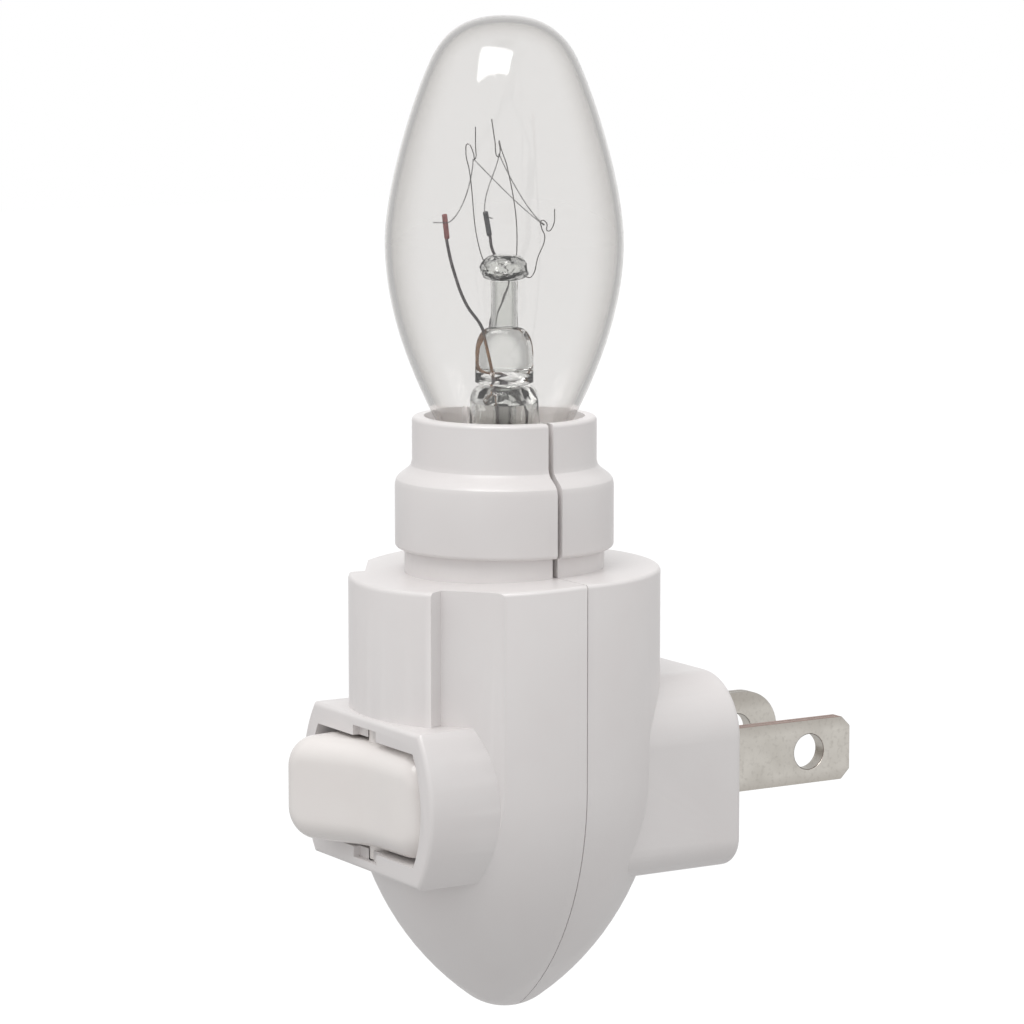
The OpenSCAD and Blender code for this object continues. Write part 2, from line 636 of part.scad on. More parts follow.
support_left = [[-1.5, -0.6, 28.5], [-2.2, -0.9, 30], [-3.3, -1.5, 38], [-3.5, -1.6, 40.2],
    [-2.7, -1.6, 42]];
support_middle = [[0.9, 1, 28.5], [1.2, 1.2, 30.1], [-0.3, 1.5, 39.5], [-1.2, 1.6, 42.6]];
support_right = [[1.6, 0, 28.2], [2.6, 0, 27.9], [3.8, 0, 31.6], [3.5, 0, 32.6], [3.6, 0, 33.2],
    [4.2, 0, 32.2], [4.6, 0, 32.4], [4.8, 0, 34.2]];
module supports(r) for (path = [support_left, support_middle, support_right]) wire(path, r);
module support_wires() at_lamp() color("gray") supports(support_r);

module filament() at_lamp() color("dimgray") wire([[-6.7, -1.4, 33], [-5.3, -1.6, 33],
    [-3.6, -1.9, 35.2], [-2.9, -1.9, 39], [0.5, -1, 35.7], [3.2, -0.4, 33.1], [3.9, 0.1, 32.7],
    [3.1, 0.5, 33.3], [1.3, 1, 35.7], [-0.5, 1.9, 39.3], [-1.5, 2.2, 35.7], [-1.9, 2.4, 33.7],
    [-1, 2.9, 33.1]], filament_r);

cap_t = 0.3;
cap_bottom = -0.6;
cap_hole_r = 3.3;
rim_h = 0.5;
module cap_shell() at_lamp() color("silver") rotate_extrude() polygon([[cap_r, cap_top - rim_h],
    [cap_r + 0.3, cap_top], [cap_r - cap_t, cap_top], [cap_r - cap_t, 1.4],
    [cap_hole_r, cap_bottom + cap_t], [cap_hole_r, cap_bottom], [cap_r, 1.2]]);
module cap_cement() at_lamp() color("tan") translate([0, 0, glass_end + 1]) difference() {
    cylinder(r = cap_r - cap_t - eps, h = cap_top - glass_end - 2);
    translate([0, 0, -1]) cylinder(r = neck_r + eps, h = far);
}
module cap_insulator() at_lamp() color("black") rotate_extrude() polygon([[0, -cap_tip + 0.5],
    [2.1, -cap_tip + 0.5], [cap_hole_r - seat, cap_bottom - 0.2], [cap_hole_r - seat, 0.4], [0, 0.4]]);
module cap_contact() at_axis() color("silver") rotate_extrude() polygon(concat([[0, -cap_tip + 0.45],
    [1.8, -cap_tip + 0.45]], arc([1.4, -cap_tip + 0.4], 0.4, 0, -90, 5), [[0, -cap_tip]]));

front_housing();
rear_housing();
rocker_button();
switch_plunger();
plunger_spring();
seesaw_contact();
moving_stud();
fulcrum_bracket();
line_contact();
fixed_stud();
hot_blade();
neutral_blade();
socket_shell();
shell_strap();
centre_contact();
bulb_glass();
stem_flare();
stem_press();
stem_rod();
support_bead();
exhaust_tube();
lead_wires();
support_wires();
filament();
cap_shell();
cap_cement();
cap_insulator();
cap_contact();
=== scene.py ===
from math import atan2, cos, hypot, pi, radians, sin, tau

import bmesh
import bpy
from mathutils import Matrix, Vector
from mathutils.geometry import interpolate_bezier


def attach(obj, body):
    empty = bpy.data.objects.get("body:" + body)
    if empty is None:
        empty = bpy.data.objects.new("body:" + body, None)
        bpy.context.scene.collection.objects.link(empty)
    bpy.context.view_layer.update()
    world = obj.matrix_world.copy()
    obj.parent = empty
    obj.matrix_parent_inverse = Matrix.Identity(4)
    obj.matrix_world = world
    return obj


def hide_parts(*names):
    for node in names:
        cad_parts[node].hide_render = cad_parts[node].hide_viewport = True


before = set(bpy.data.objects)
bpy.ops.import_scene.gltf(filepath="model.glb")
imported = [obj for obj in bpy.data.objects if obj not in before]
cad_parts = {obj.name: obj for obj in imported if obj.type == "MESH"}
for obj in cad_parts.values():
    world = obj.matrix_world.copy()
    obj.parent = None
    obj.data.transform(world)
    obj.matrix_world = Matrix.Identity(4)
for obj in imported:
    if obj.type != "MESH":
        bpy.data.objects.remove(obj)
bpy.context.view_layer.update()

# ---------- Rear half of the housing ----------
# The rear shell: half the body, half the lamp collar and the plug block behind them.
# It is injection-moulded in white ABS and pressed onto the front shell's pins.

MM = 0.001                 # shapes are made in millimetres
AXIS_Y = -19.6             # the lamp's axis and the parting plane; the wall face is at 0
DECK_Z = 20.2              # the deck that the collar stands on


def linear(hex_colour):
    """An sRGB hex colour as Blender's linear RGBA."""
    channels = [int(hex_colour[i:i + 2], 16) / 255 for i in (1, 3, 5)]
    return tuple(c / 12.92 if c <= 0.04045 else ((c + 0.055) / 1.055) ** 2.4
                 for c in channels) + (1.0,)


def add(material, kind, inputs=None, **settings):
    """Adds a shader node with its settings; an input takes a value or another node's output."""
    tree = material.node_tree
    node = tree.nodes.new("ShaderNode" + kind)
    for name, value in settings.items():
        setattr(node, name, value)
    for name, value in (inputs or {}).items():
        if isinstance(value, bpy.types.NodeSocket):
            tree.links.new(value, node.inputs[name])
        else:
            node.inputs[name].default_value = value
    return node


def new_material(name, **values):
    """A material with one Principled shader, and that shader's plain values."""
    material = bpy.data.materials.new(name)
    material.use_nodes = True
    shader = material.node_tree.nodes["Principled BSDF"]
    for socket, value in values.items():
        shader.inputs[socket.replace("_", " ")].default_value = value
    return material, shader


def drive(material, shader, socket, output):
    """Lets a node's output set one of the shader's sockets."""
    material.node_tree.links.new(output, shader.inputs[socket])


# ABS, moulded in a finely eroded tool: a soft satin white with a slightly uneven gloss.
# The tool's grain, drawn at 0.35 mm to show, and slow waves of 5 mm waver in the highlights.
white_abs, shader = new_material("moulded white ABS", IOR=1.54)
place = add(white_abs, "TexCoord").outputs["Object"]
cloud = add(white_abs, "TexNoise", {"Vector": place, "Scale": 1 / (7 * MM), "Detail": 3.0})
tone = add(white_abs, "Mix", {"Factor": cloud.outputs["Fac"], "A": linear("#D9D4D3"),
                              "B": linear("#DFDCDB")}, data_type="RGBA")
drive(white_abs, shader, "Base Color", tone.outputs["Result"])
gloss = add(white_abs, "MapRange", {"Value": cloud.outputs["Fac"], "To Min": 0.29, "To Max": 0.36})
drive(white_abs, shader, "Roughness", gloss.outputs["Result"])
grain = add(white_abs, "TexNoise", {"Vector": place, "Scale": 1 / (0.35 * MM), "Detail": 2.0})
ripple = add(white_abs, "TexNoise", {"Vector": place, "Scale": 1 / (5 * MM), "Detail": 1.0})
relief = add(white_abs, "Math", {0: grain.outputs["Fac"], 1: ripple.outputs["Fac"]},
             operation="ADD")
bump = add(white_abs, "Bump", {"Height": relief.outputs[0], "Strength": 0.25,
                               "Distance": 0.012 * MM})
drive(white_abs, shader, "Normal", bump.outputs["Normal"])


def add_piece(shape, name, materials, body, place=Matrix(), sharp=35):
    """Puts a shape in its place and makes it an object that rides on a body.

    Edges with a sharper turn than the angle, in degrees, are shaded as edges."""
    bmesh.ops.transform(shape, matrix=Matrix.Scale(MM, 4) @ place, verts=shape.verts)
    for face in shape.faces:
        face.smooth = True
    for edge in shape.edges:
        edge.smooth = edge.calc_face_angle(0) < radians(sharp)
    mesh = bpy.data.meshes.new(name)
    shape.to_mesh(mesh)
    shape.free()
    for material in materials:
        mesh.materials.append(material)
    piece = bpy.data.objects.new(name, mesh)
    bpy.context.scene.collection.objects.link(piece)
    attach(piece, body)
    return piece


WIDEST = 0.8               # the edge radius that a full bevel weight asks for
WELD = 0.0005              # closer points than this are one point
FLAT, SHARP = 0.4, 24      # degrees: faces that are one plane, and edges that ask for a radius


def finished(node, name, radius, material, body):
    """A CAD node's own shape, with a radius asked for along its sharp edges.

    The radius is in millimetres, or a function that gives it at a place. Where two edges are
    close together, all the piece's radii are held down to what fits. Strips and rivets get
    most of theirs. The two housing shells get under 0.02, so they look as crisp as the CAD."""
    shape = bmesh.new()
    shape.from_mesh(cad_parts[node].data)
    bmesh.ops.scale(shape, vec=(1 / MM,) * 3, verts=shape.verts)
    bmesh.ops.remove_doubles(shape, verts=shape.verts, dist=WELD)
    bmesh.ops.dissolve_limit(shape, angle_limit=radians(FLAT), verts=shape.verts,
                             edges=shape.edges)
    weight = shape.edges.layers.float.new("bevel_weight_edge")
    for edge in shape.edges:
        if edge.calc_face_angle(0) > radians(SHARP):
            x, y, z = (edge.verts[0].co + edge.verts[1].co) / 2
            edge[weight] = (radius(x, y, z) if callable(radius) else radius) / WIDEST
    piece = add_piece(shape, name, [material], body, sharp=180)
    rounding = piece.modifiers.new("rounded edges", "BEVEL")
    rounding.width = WIDEST * MM
    rounding.segments = 3
    rounding.limit_method = "WEIGHT"
    rounding.harden_normals = True
    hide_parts(node)
    return piece


PARTING_R, STEP_R, RIM_R, BOSS_R, PLAIN_R = 0.05, 0.78, 0.4, 0.5, 0.2    # as asked for


def moulded_radius(x, y, z):
    """The edge radius asked for at a place on the housing; finished says what comes of it."""
    if abs(y - AXIS_Y) < 0.1:
        return PARTING_R                            # the parting faces stay crisp
    if 7 < abs(x) < 8 and y < -30 and z > 6.5:
        return STEP_R                               # the step beside the nose
    if z > DECK_Z - 1.2 and hypot(x, y - AXIS_Y) > 12.5:
        return RIM_R                                # the deck's rim
    if abs(x) > 9.5 and -34.8 < y < -28:
        return BOSS_R                               # where the switch boss meets the body
    return PLAIN_R


finished("rear_housing", "rear_shell", moulded_radius, white_abs, "housing")

# ---------- Blades ----------
# Two flat blades in slots of the rear shell, locked by a step behind the wall.
# Each is brass strip folded double and nickel plated; the line blade's punched edges show bare
# metal.

BLADE_OUT = 6.35           # half the distance between the blades
HOLE_AT, HOLE_R = 11.4, 1.8            # the hole's place from the wall face, and its radius
PLY, SEAM, PUNCHED_R = 0.75, 0.02, 0.11    # one ply of the fold, the gap, and the edge radius
FOLD_END, STEP_BACK, STEP_FRONT, STEP_OUT = -8, -4.45, -2.05, 1    # behind the wall face
TAIL = (0.8, 6.6, 4)       # the narrow tail behind the fold
LINER_R, LINER_L = HOLE_R - 0.03, 2 * PLY - 0.14       # the hole's smooth lining
LINE_HALF, NEUTRAL_HALF = 3.175, 3.97      # half the blades' widths
BORE = Matrix.Translation((0, HOLE_AT, 0)) @ Matrix.Rotation(pi / 2, 4, "Y")


def sheet(outline, thickness):
    """Flat strip across X with its outline in Y and Z, and the blade's hole through it."""
    shape = bmesh.new()
    rim = [shape.verts.new((0, y, z)) for y, z in outline]
    for a, b in zip(rim, rim[1:] + rim[:1]):
        shape.edges.new((a, b))
    bmesh.ops.create_circle(shape, segments=48, radius=HOLE_R, matrix=BORE)
    bmesh.ops.triangle_fill(shape, use_beauty=True, edges=shape.edges)
    grown = bmesh.ops.extrude_face_region(shape, geom=shape.faces[:])["geom"]
    bmesh.ops.translate(shape, vec=(thickness, 0, 0),
                        verts=[v for v in grown if isinstance(v, bmesh.types.BMVert)])
    bmesh.ops.recalc_face_normals(shape, faces=shape.faces)
    return shape


# Nickel plate over brass strip: a warm grey with fine rolling lines 0.15 mm apart, cloudy
# handling marks, faint specks, and stains that creep in 1 mm from the long edges.
nickel, shader = new_material("nickel-plated brass", Metallic=1.0)
place = add(nickel, "TexCoord").outputs["Object"]
along = add(nickel, "Mapping", {"Vector": place, "Scale": (1.0, 0.05, 1.0)})
lines = add(nickel, "TexNoise", {"Vector": along.outputs["Vector"], "Scale": 1 / (0.15 * MM),
                                 "Detail": 3.0})
marks = add(nickel, "TexNoise", {"Vector": place, "Scale": 1 / (3 * MM), "Detail": 4.0})
cloudy = add(nickel, "Mix", {"Factor": marks.outputs["Fac"], "A": linear("#B8B3AB"),
                             "B": linear("#E2DED7")}, data_type="RGBA")
specks = add(nickel, "TexNoise", {"Vector": place, "Scale": 1 / (0.4 * MM), "Detail": 5.0})
speckled = add(nickel, "MapRange", {"Value": specks.outputs["Fac"], "From Min": 0.52,
                                    "From Max": 0.75, "To Max": 0.3})
mottled = add(nickel, "Mix", {"Factor": speckled.outputs["Result"],
                              "A": cloudy.outputs["Result"], "B": linear("#958F87")},
              data_type="RGBA")
height = add(nickel, "Math", {0: add(nickel, "SeparateXYZ", {"Vector": place}).outputs["Z"]},
             operation="ABSOLUTE")
margin = add(nickel, "MapRange", {"Value": height.outputs[0], "From Min": 2.0 * MM,
                                  "From Max": 3.3 * MM, "To Max": 0.6})
stain = add(nickel, "Math", {0: margin.outputs["Result"], 1: marks.outputs["Fac"]},
            operation="MULTIPLY")
tone = add(nickel, "Mix", {"Factor": stain.outputs[0], "A": mottled.outputs["Result"],
                           "B": linear("#7E746A")}, data_type="RGBA")
drive(nickel, shader, "Base Color", tone.outputs["Result"])
dull = add(nickel, "MapRange", {"Value": marks.outputs["Fac"], "To Min": 0.3, "To Max": 0.5})
drive(nickel, shader, "Roughness", dull.outputs["Result"])
bump = add(nickel, "Bump", {"Height": lines.outputs["Fac"], "Strength": 0.4,
                            "Distance": 0.01 * MM})
drive(nickel, shader, "Normal", bump.outputs["Normal"])

# Brass where the punch sheared the plated strip: pinkish brown, tarnished, with shear lines
# 0.2 mm apart across the thickness.
sheared_brass, shader = new_material("sheared brass edge", Metallic=1.0, Roughness=0.42)
place = add(sheared_brass, "TexCoord").outputs["Object"]
across = add(sheared_brass, "Mapping", {"Vector": place, "Scale": (0.1, 1.0, 1.0)})
shear = add(sheared_brass, "TexNoise", {"Vector": across.outputs["Vector"],
                                        "Scale": 1 / (0.2 * MM), "Detail": 2.0})
tone = add(sheared_brass, "Mix", {"Factor": shear.outputs["Fac"], "A": linear("#8E6F66"),
                                  "B": linear("#C4A79B")}, data_type="RGBA")
drive(sheared_brass, shader, "Base Color", tone.outputs["Result"])
bump = add(sheared_brass, "Bump", {"Height": shear.outputs["Fac"], "Strength": 0.4,
                                   "Distance": 0.02 * MM})
drive(sheared_brass, shader, "Normal", bump.outputs["Normal"])


def blade(name, node, side, half, tip, cut_edge):
    """A folded blade: two plies with a seam between them, a smooth hole and a thinner tail."""
    step = half + STEP_OUT
    root = [(FOLD_END, half), (FOLD_END, -half), (STEP_BACK, -half), (STEP_BACK, -step),
            (STEP_FRONT, -step), (STEP_FRONT, -half)]
    shoulder = [(STEP_FRONT, half), (STEP_FRONT, step), (STEP_BACK, step), (STEP_BACK, half)]
    shape = sheet(root + tip + shoulder, PLY)
    bmesh.ops.bevel(shape, geom=[e for e in shape.edges if e.calc_face_angle(0) > radians(40)],
                    offset=PUNCHED_R, offset_type="OFFSET", affect="EDGES", segments=3,
                    profile=0.5, material=-1, clamp_overlap=True)
    bmesh.ops.translate(shape, vec=(-PLY - SEAM / 2, 0, 0), verts=shape.verts)
    second = bmesh.ops.duplicate(shape, geom=shape.faces[:])["geom"]
    bmesh.ops.translate(shape, vec=(PLY + SEAM, 0, 0),
                        verts=[v for v in second if isinstance(v, bmesh.types.BMVert)])
    bmesh.ops.create_cube(shape, size=1, matrix=Matrix.Translation(
        (0, FOLD_END + 0.05 - TAIL[1] / 2, 0)) @ Matrix.Diagonal((*TAIL, 1)))
    for face in shape.faces:
        face.material_index = int(abs(face.normal.x) < 0.6)
    liner = bmesh.ops.create_cone(shape, cap_ends=False, segments=48, radius1=LINER_R,
                                  radius2=LINER_R, depth=LINER_L, matrix=BORE)["verts"]
    bmesh.ops.reverse_faces(shape, faces=list({f for v in liner for f in v.link_faces}))
    piece = add_piece(shape, name, [nickel, cut_edge], "housing",
                      Matrix.Translation((side * BLADE_OUT, 0, 0)))
    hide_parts(node)


REACH, TIP_CUT = 16.35, 1              # how far the blades stand out, and the tip's corner cut
line_tip = [(REACH - TIP_CUT, -LINE_HALF), (REACH, TIP_CUT - LINE_HALF),
            (REACH, LINE_HALF - TIP_CUT), (REACH - TIP_CUT, LINE_HALF)]
neutral_tip = [(REACH - NEUTRAL_HALF + NEUTRAL_HALF * cos(a * pi / 24),
                NEUTRAL_HALF * sin(a * pi / 24)) for a in range(-12, 13)]
blade("line_blade", "hot_blade", 1, LINE_HALF, line_tip, sheared_brass)
blade("neutral_blade_folded", "neutral_blade", -1, NEUTRAL_HALF, neutral_tip, nickel)

# ---------- Screw shell of the lamp socket ----------
# A drawn brass shell that holds the lamp's cap, with a flange that rests in the collar.
# Its thread is rolled into the sheet; a tab below takes the strap to the neutral blade.

AXIS = Matrix.Translation((0, AXIS_Y, DECK_Z))  # the lamp's axis, at the deck
PITCH, THREAD = 2.54, 0.3  # the candelabra thread's pitch, and how deep it is rolled
SHELL_R, SHELL_WALL, SHELL_FOOT, SHELL_TOP = 6.43, 0.4, -3, 9
FLANGE_R, FLANGE = 7.65, 0.5


def turned(profile, steps=96, closed=False):
    """Spins a line of (radius, height) points about the axis."""
    shape = bmesh.new()
    line = [shape.verts.new((r, 0, z)) for r, z in profile]
    pairs = list(zip(line, line[1:])) + ([(line[-1], line[0])] if closed else [])
    edges = [shape.edges.new(pair) for pair in pairs]
    bmesh.ops.spin(shape, geom=line + edges, axis=(0, 0, 1), cent=(0, 0, 0), steps=steps,
                   angle=tau, use_merge=True)
    bmesh.ops.remove_doubles(shape, verts=shape.verts, dist=WELD / 5)
    bmesh.ops.recalc_face_normals(shape, faces=shape.faces)
    return shape


def roll_thread(shape, depth, bottom, top):
    """Presses a right-hand thread into a wall, fading out over half a turn at both ends."""
    for vert in shape.verts:
        x, y, z = vert.co
        fade = max(0, min(1, 2 * (z - bottom) / PITCH, 2 * (top - z) / PITCH))
        wave = 0.5 - 0.5 * cos(tau * z / PITCH - atan2(y, x))
        vert.co.xy *= 1 - depth * fade * wave / hypot(x, y)


# Brass strip and drawn shells: bright satin with faint drawing lines 0.1 mm apart
# and a light tarnish that gathers in patches.
brass, shader = new_material("satin brass", Metallic=1.0)
place = add(brass, "TexCoord").outputs["Object"]
tarnish = add(brass, "TexNoise", {"Vector": place, "Scale": 1 / (2.5 * MM), "Detail": 4.0})
tone = add(brass, "Mix", {"Factor": tarnish.outputs["Fac"], "A": linear("#B58E4E"),
                          "B": linear("#DDBB78")}, data_type="RGBA")
drive(brass, shader, "Base Color", tone.outputs["Result"])
dull = add(brass, "MapRange", {"Value": tarnish.outputs["Fac"], "To Min": 0.29, "To Max": 0.42})
drive(brass, shader, "Roughness", dull.outputs["Result"])
drawn = add(brass, "Mapping", {"Vector": place, "Scale": (1.0, 1.0, 0.08)})
lines = add(brass, "TexNoise", {"Vector": drawn.outputs["Vector"], "Scale": 1 / (0.1 * MM),
                                "Detail": 2.0})
bump = add(brass, "Bump", {"Height": lines.outputs["Fac"], "Strength": 0.3,
                           "Distance": 0.01 * MM})
drive(brass, shader, "Normal", bump.outputs["Normal"])

wall = [(SHELL_R, SHELL_FOOT + 0.2 * i) for i in range(58)]
flange = [(SHELL_R, SHELL_TOP - FLANGE), (FLANGE_R, SHELL_TOP - FLANGE), (FLANGE_R, SHELL_TOP),
          (SHELL_R - SHELL_WALL, SHELL_TOP)]
shape = turned(wall + flange + [(r - SHELL_WALL, z) for r, z in reversed(wall)], closed=True)
roll_thread(shape, THREAD, bottom=-1, top=8.2)
strap_tab = Matrix.Translation((0, 6.13, -4.05)) @ Matrix.Diagonal((3, SHELL_WALL, 3.9, 1))
bmesh.ops.create_cube(shape, size=1, matrix=strap_tab)
screw_shell = add_piece(shape, "screw_shell", [brass], "housing", AXIS)
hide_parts("socket_shell")

# ---------- Strap and centre contact ----------
# Stamped brass strips: one joins the screw shell to the neutral blade, the other
# springs up under the lamp's tip from the switch's bracket.

STAMPED_R = 0.08           # the edges of stamped strip
finished("shell_strap", "neutral_strap", STAMPED_R, brass, "housing")
finished("centre_contact", "centre_spring_strip", STAMPED_R, brass, "housing")

# ---------- Switch metalwork ----------
# The bracket, the see-saw that rocks on it, and the fixed contact to the line blade.
# All are stamped brass; the two contact studs are silver rivets.

finished("fulcrum_bracket", "rocking_bracket", STAMPED_R, brass, "housing")
finished("line_contact", "fixed_contact", STAMPED_R, brass, "housing")
finished("seesaw_contact", "moving_contact", STAMPED_R, brass, "seesaw")

# Silver contact rivets: pale satin metal, cold headed, slightly mottled by arcing.
silver, shader = new_material("silver contact rivet", Metallic=1.0, Roughness=0.3)
place = add(silver, "TexCoord").outputs["Object"]
arcing = add(silver, "TexNoise", {"Vector": place, "Scale": 1 / (0.6 * MM), "Detail": 4.0})
tone = add(silver, "Mix", {"Factor": arcing.outputs["Fac"], "A": linear("#A7A39D"),
                           "B": linear("#E0DDD6")}, data_type="RGBA")
drive(silver, shader, "Base Color", tone.outputs["Result"])

HEADED_R = 0.15            # the rivets' edges
finished("fixed_stud", "fixed_rivet", HEADED_R, silver, "housing")
finished("moving_stud", "moving_rivet", HEADED_R, silver, "seesaw")

# ---------- Front half of the housing ----------
# The front shell carries the switch boss and the front half of the collar.
# It comes from the same tool and resin as the rear shell.

finished("front_housing", "front_shell", moulded_radius, white_abs, "housing")

# ---------- Rocker ----------
# The switch's rocker: a soft-edged pad with a shallow saddle between its two lobes,
# trunnions that snap into the boss and a sleeve behind. It is moulded in a glossier white ABS.

ROCKER = Matrix.Translation((0, -33.1, -0.6)) @ Matrix.Rotation(radians(16.5), 4, "Z")
HALF_L, HALF_H, CORNER, SOFT = 9.55, 5.05, 3.1, 2.3      # the pad's outline and edge rounding
LOBE_AT, LOBE, SADDLE = 7.25, 4.5, 1.2                   # the lobes' place, height and dip
PAD_BACK, BACK_DRAFT = 1.0, 0.985                        # the pad's back, and how it narrows
TRUNNION_R, TRUNNION_L, TRUNNION_AT = 1.3, 2, 5.3
SLEEVE_R, SLEEVE_BORE, SLEEVE_FROM, SLEEVE_TO = 1.8, 1.05, 0.9, 3.4

# ABS from a polished tool: clear gloss over white, with very faint sink marks.
gloss_abs, shader = new_material("polished white ABS", IOR=1.54)
place = add(gloss_abs, "TexCoord").outputs["Object"]
cloud = add(gloss_abs, "TexNoise", {"Vector": place, "Scale": 1 / (5 * MM), "Detail": 2.0})
tone = add(gloss_abs, "Mix", {"Factor": cloud.outputs["Fac"], "A": linear("#E2DCD9"),
                              "B": linear("#E8E4E1")}, data_type="RGBA")
drive(gloss_abs, shader, "Base Color", tone.outputs["Result"])
gloss = add(gloss_abs, "MapRange", {"Value": cloud.outputs["Fac"], "To Min": 0.16, "To Max": 0.24})
drive(gloss_abs, shader, "Roughness", gloss.outputs["Result"])
bump = add(gloss_abs, "Bump", {"Height": cloud.outputs["Fac"], "Strength": 0.2,
                               "Distance": 0.03 * MM})
drive(gloss_abs, shader, "Normal", bump.outputs["Normal"])


def pad_ring(inset, rise):
    """The pad's outline drawn in by an inset, raised over the start of its rounding."""
    corner = min(max(CORNER - inset, 0.5), HALF_H - inset)       # 0.5 while there is room
    flat_l, flat_h = HALF_L - inset - corner, HALF_H - inset - corner
    arcs = [[(sx * flat_l + corner * cos(turn + k * pi / 20),
              sz * flat_h + corner * sin(turn + k * pi / 20)) for k in range(11)]
            for sx, sz, turn in ((1, 1, 0), (-1, 1, pi / 2), (-1, -1, pi), (1, -1, 3 * pi / 2))]
    ring = []
    for arc, following, gaps in zip(arcs, arcs[1:] + arcs[:1], (24, 6, 24, 6)):
        (x0, z0), (x1, z1) = arc[-1], following[0]
        ring += arc + [(x0 + (x1 - x0) * i / gaps, z0 + (z1 - z0) * i / gaps)
                       for i in range(1, gaps)]
    return [(x, SOFT - rise - LOBE + SADDLE * (0.5 + 0.5 * cos(pi * min(abs(x) / LOBE_AT, 1))), z)
            for x, z in ring]


back = [(BACK_DRAFT * x, PAD_BACK, BACK_DRAFT * z) for x, y, z in pad_ring(0, 0)]
rounding = [pad_ring(SOFT * (1 - cos(k * pi / 20)), SOFT * sin(k * pi / 20)) for k in range(11)]
front = [pad_ring(SOFT + (HALF_H - SOFT) * k / 5, SOFT) for k in range(1, 6)]
shape = bmesh.new()
below = []
for ring in [back] + rounding + front:
    loop = [shape.verts.new(point) for point in ring]
    rim = [shape.edges.new(pair) for pair in zip(loop, loop[1:] + loop[:1])]
    if below:
        bmesh.ops.bridge_loops(shape, edges=below + rim)
    else:
        bmesh.ops.edgeloop_fill(shape, edges=rim)
    below = rim
bmesh.ops.remove_doubles(shape, verts=shape.verts, dist=WELD)
bmesh.ops.recalc_face_normals(shape, faces=shape.faces)
for end in (-1, 1):
    bmesh.ops.create_cone(shape, cap_ends=True, segments=48, radius1=TRUNNION_R,
                          radius2=TRUNNION_R, depth=TRUNNION_L,
                          matrix=Matrix.Translation((0, 0, end * TRUNNION_AT)))
tube = turned([(SLEEVE_BORE, SLEEVE_FROM), (SLEEVE_R, SLEEVE_FROM), (SLEEVE_R, SLEEVE_TO),
               (SLEEVE_BORE, SLEEVE_TO)], steps=48, closed=True)
bmesh.ops.rotate(tube, matrix=Matrix.Rotation(-pi / 2, 3, "X"), verts=tube.verts)
rocker_sleeve = add_piece(tube, "rocker_sleeve", [gloss_abs], "rocker", ROCKER)
rocker = add_piece(shape, "rocker_pad", [gloss_abs], "rocker", ROCKER)
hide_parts("rocker_button")

# ---------- Plunger and spring ----------
# A brass plunger in the rocker's sleeve, pushed onto the see-saw by a small coil spring
# of drawn steel wire.

TURNED_R = 0.05            # the turned plunger's edges
finished("switch_plunger", "brass_plunger", TURNED_R, brass, "rocker")
SPRING_R, SPRING_WIRE_R, SPRING_FROM, SPRING_L = 0.86, 0.14, -1.01, 2.22
SPRING_TURNS, POINTS_A_TURN = 4, 24


def draw_wire(shape, points, radius, smooth=True, detail=2):
    """Adds a round wire through the points to a shape."""
    curve = bpy.data.curves.new("wire", "CURVE")
    curve.dimensions = "3D"
    curve.bevel_depth = radius
    curve.bevel_resolution = detail
    curve.use_fill_caps = True
    spline = curve.splines.new("BEZIER" if smooth else "POLY")
    knots = spline.bezier_points if smooth else spline.points
    knots.add(len(points) - 1)
    for knot, point in zip(knots, points):
        knot.co = point if smooth else (*point, 1)
        if smooth:
            knot.handle_left_type = knot.handle_right_type = "AUTO"
    holder = bpy.data.objects.new("wire", curve)
    shape.from_mesh(holder.to_mesh())
    holder.to_mesh_clear()
    bpy.data.objects.remove(holder)
    bpy.data.curves.remove(curve)


# Drawn spring steel: grey, with the die's fine streaks.
spring_steel, shader = new_material("drawn spring steel", Metallic=1.0, Roughness=0.3)
place = add(spring_steel, "TexCoord").outputs["Object"]
streaks = add(spring_steel, "TexNoise", {"Vector": place, "Scale": 1 / (0.3 * MM), "Detail": 3.0})
tone = add(spring_steel, "Mix", {"Factor": streaks.outputs["Fac"], "A": linear("#7E7D7A"),
                                 "B": linear("#B4B2AE")}, data_type="RGBA")
drive(spring_steel, shader, "Base Color", tone.outputs["Result"])

shape = bmesh.new()
count = SPRING_TURNS * POINTS_A_TURN
around = [tau * i / POINTS_A_TURN for i in range(count + 1)]
draw_wire(shape, [(SPRING_R * cos(a), SPRING_FROM + SPRING_L * i / count, -SPRING_R * sin(a))
                  for i, a in enumerate(around)], SPRING_WIRE_R, smooth=False)
coil = add_piece(shape, "plunger_coil", [spring_steel], "rocker", ROCKER)
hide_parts("plunger_spring")

# ---------- Lamp cap ----------
# The lamp's screw cap: thin rolled aluminium with the thread pressed in, a black glass
# insulator at its base with a soldered tip contact, and a ring of baked cement inside.

LAMP = AXIS @ Matrix.Rotation(radians(58.7), 4, "Z")      # the lamp, screwed home
CAP_R, CAP_SHEET = 5.95, 0.2

# Rolled aluminium sheet: pale satin grey with rolling lines round the cap.
aluminium, shader = new_material("rolled aluminium", Metallic=1.0)
place = add(aluminium, "TexCoord").outputs["Object"]
rolled = add(aluminium, "Mapping", {"Vector": place, "Scale": (0.1, 0.1, 1.0)})
lines = add(aluminium, "TexNoise", {"Vector": rolled.outputs["Vector"], "Scale": 1 / (0.12 * MM),
                                    "Detail": 3.0})
tone = add(aluminium, "Mix", {"Factor": lines.outputs["Fac"], "A": linear("#B5B4B2"),
                              "B": linear("#D8D7D4")}, data_type="RGBA")
drive(aluminium, shader, "Base Color", tone.outputs["Result"])
satin = add(aluminium, "MapRange", {"Value": lines.outputs["Fac"], "To Min": 0.29, "To Max": 0.42})
drive(aluminium, shader, "Roughness", satin.outputs["Result"])

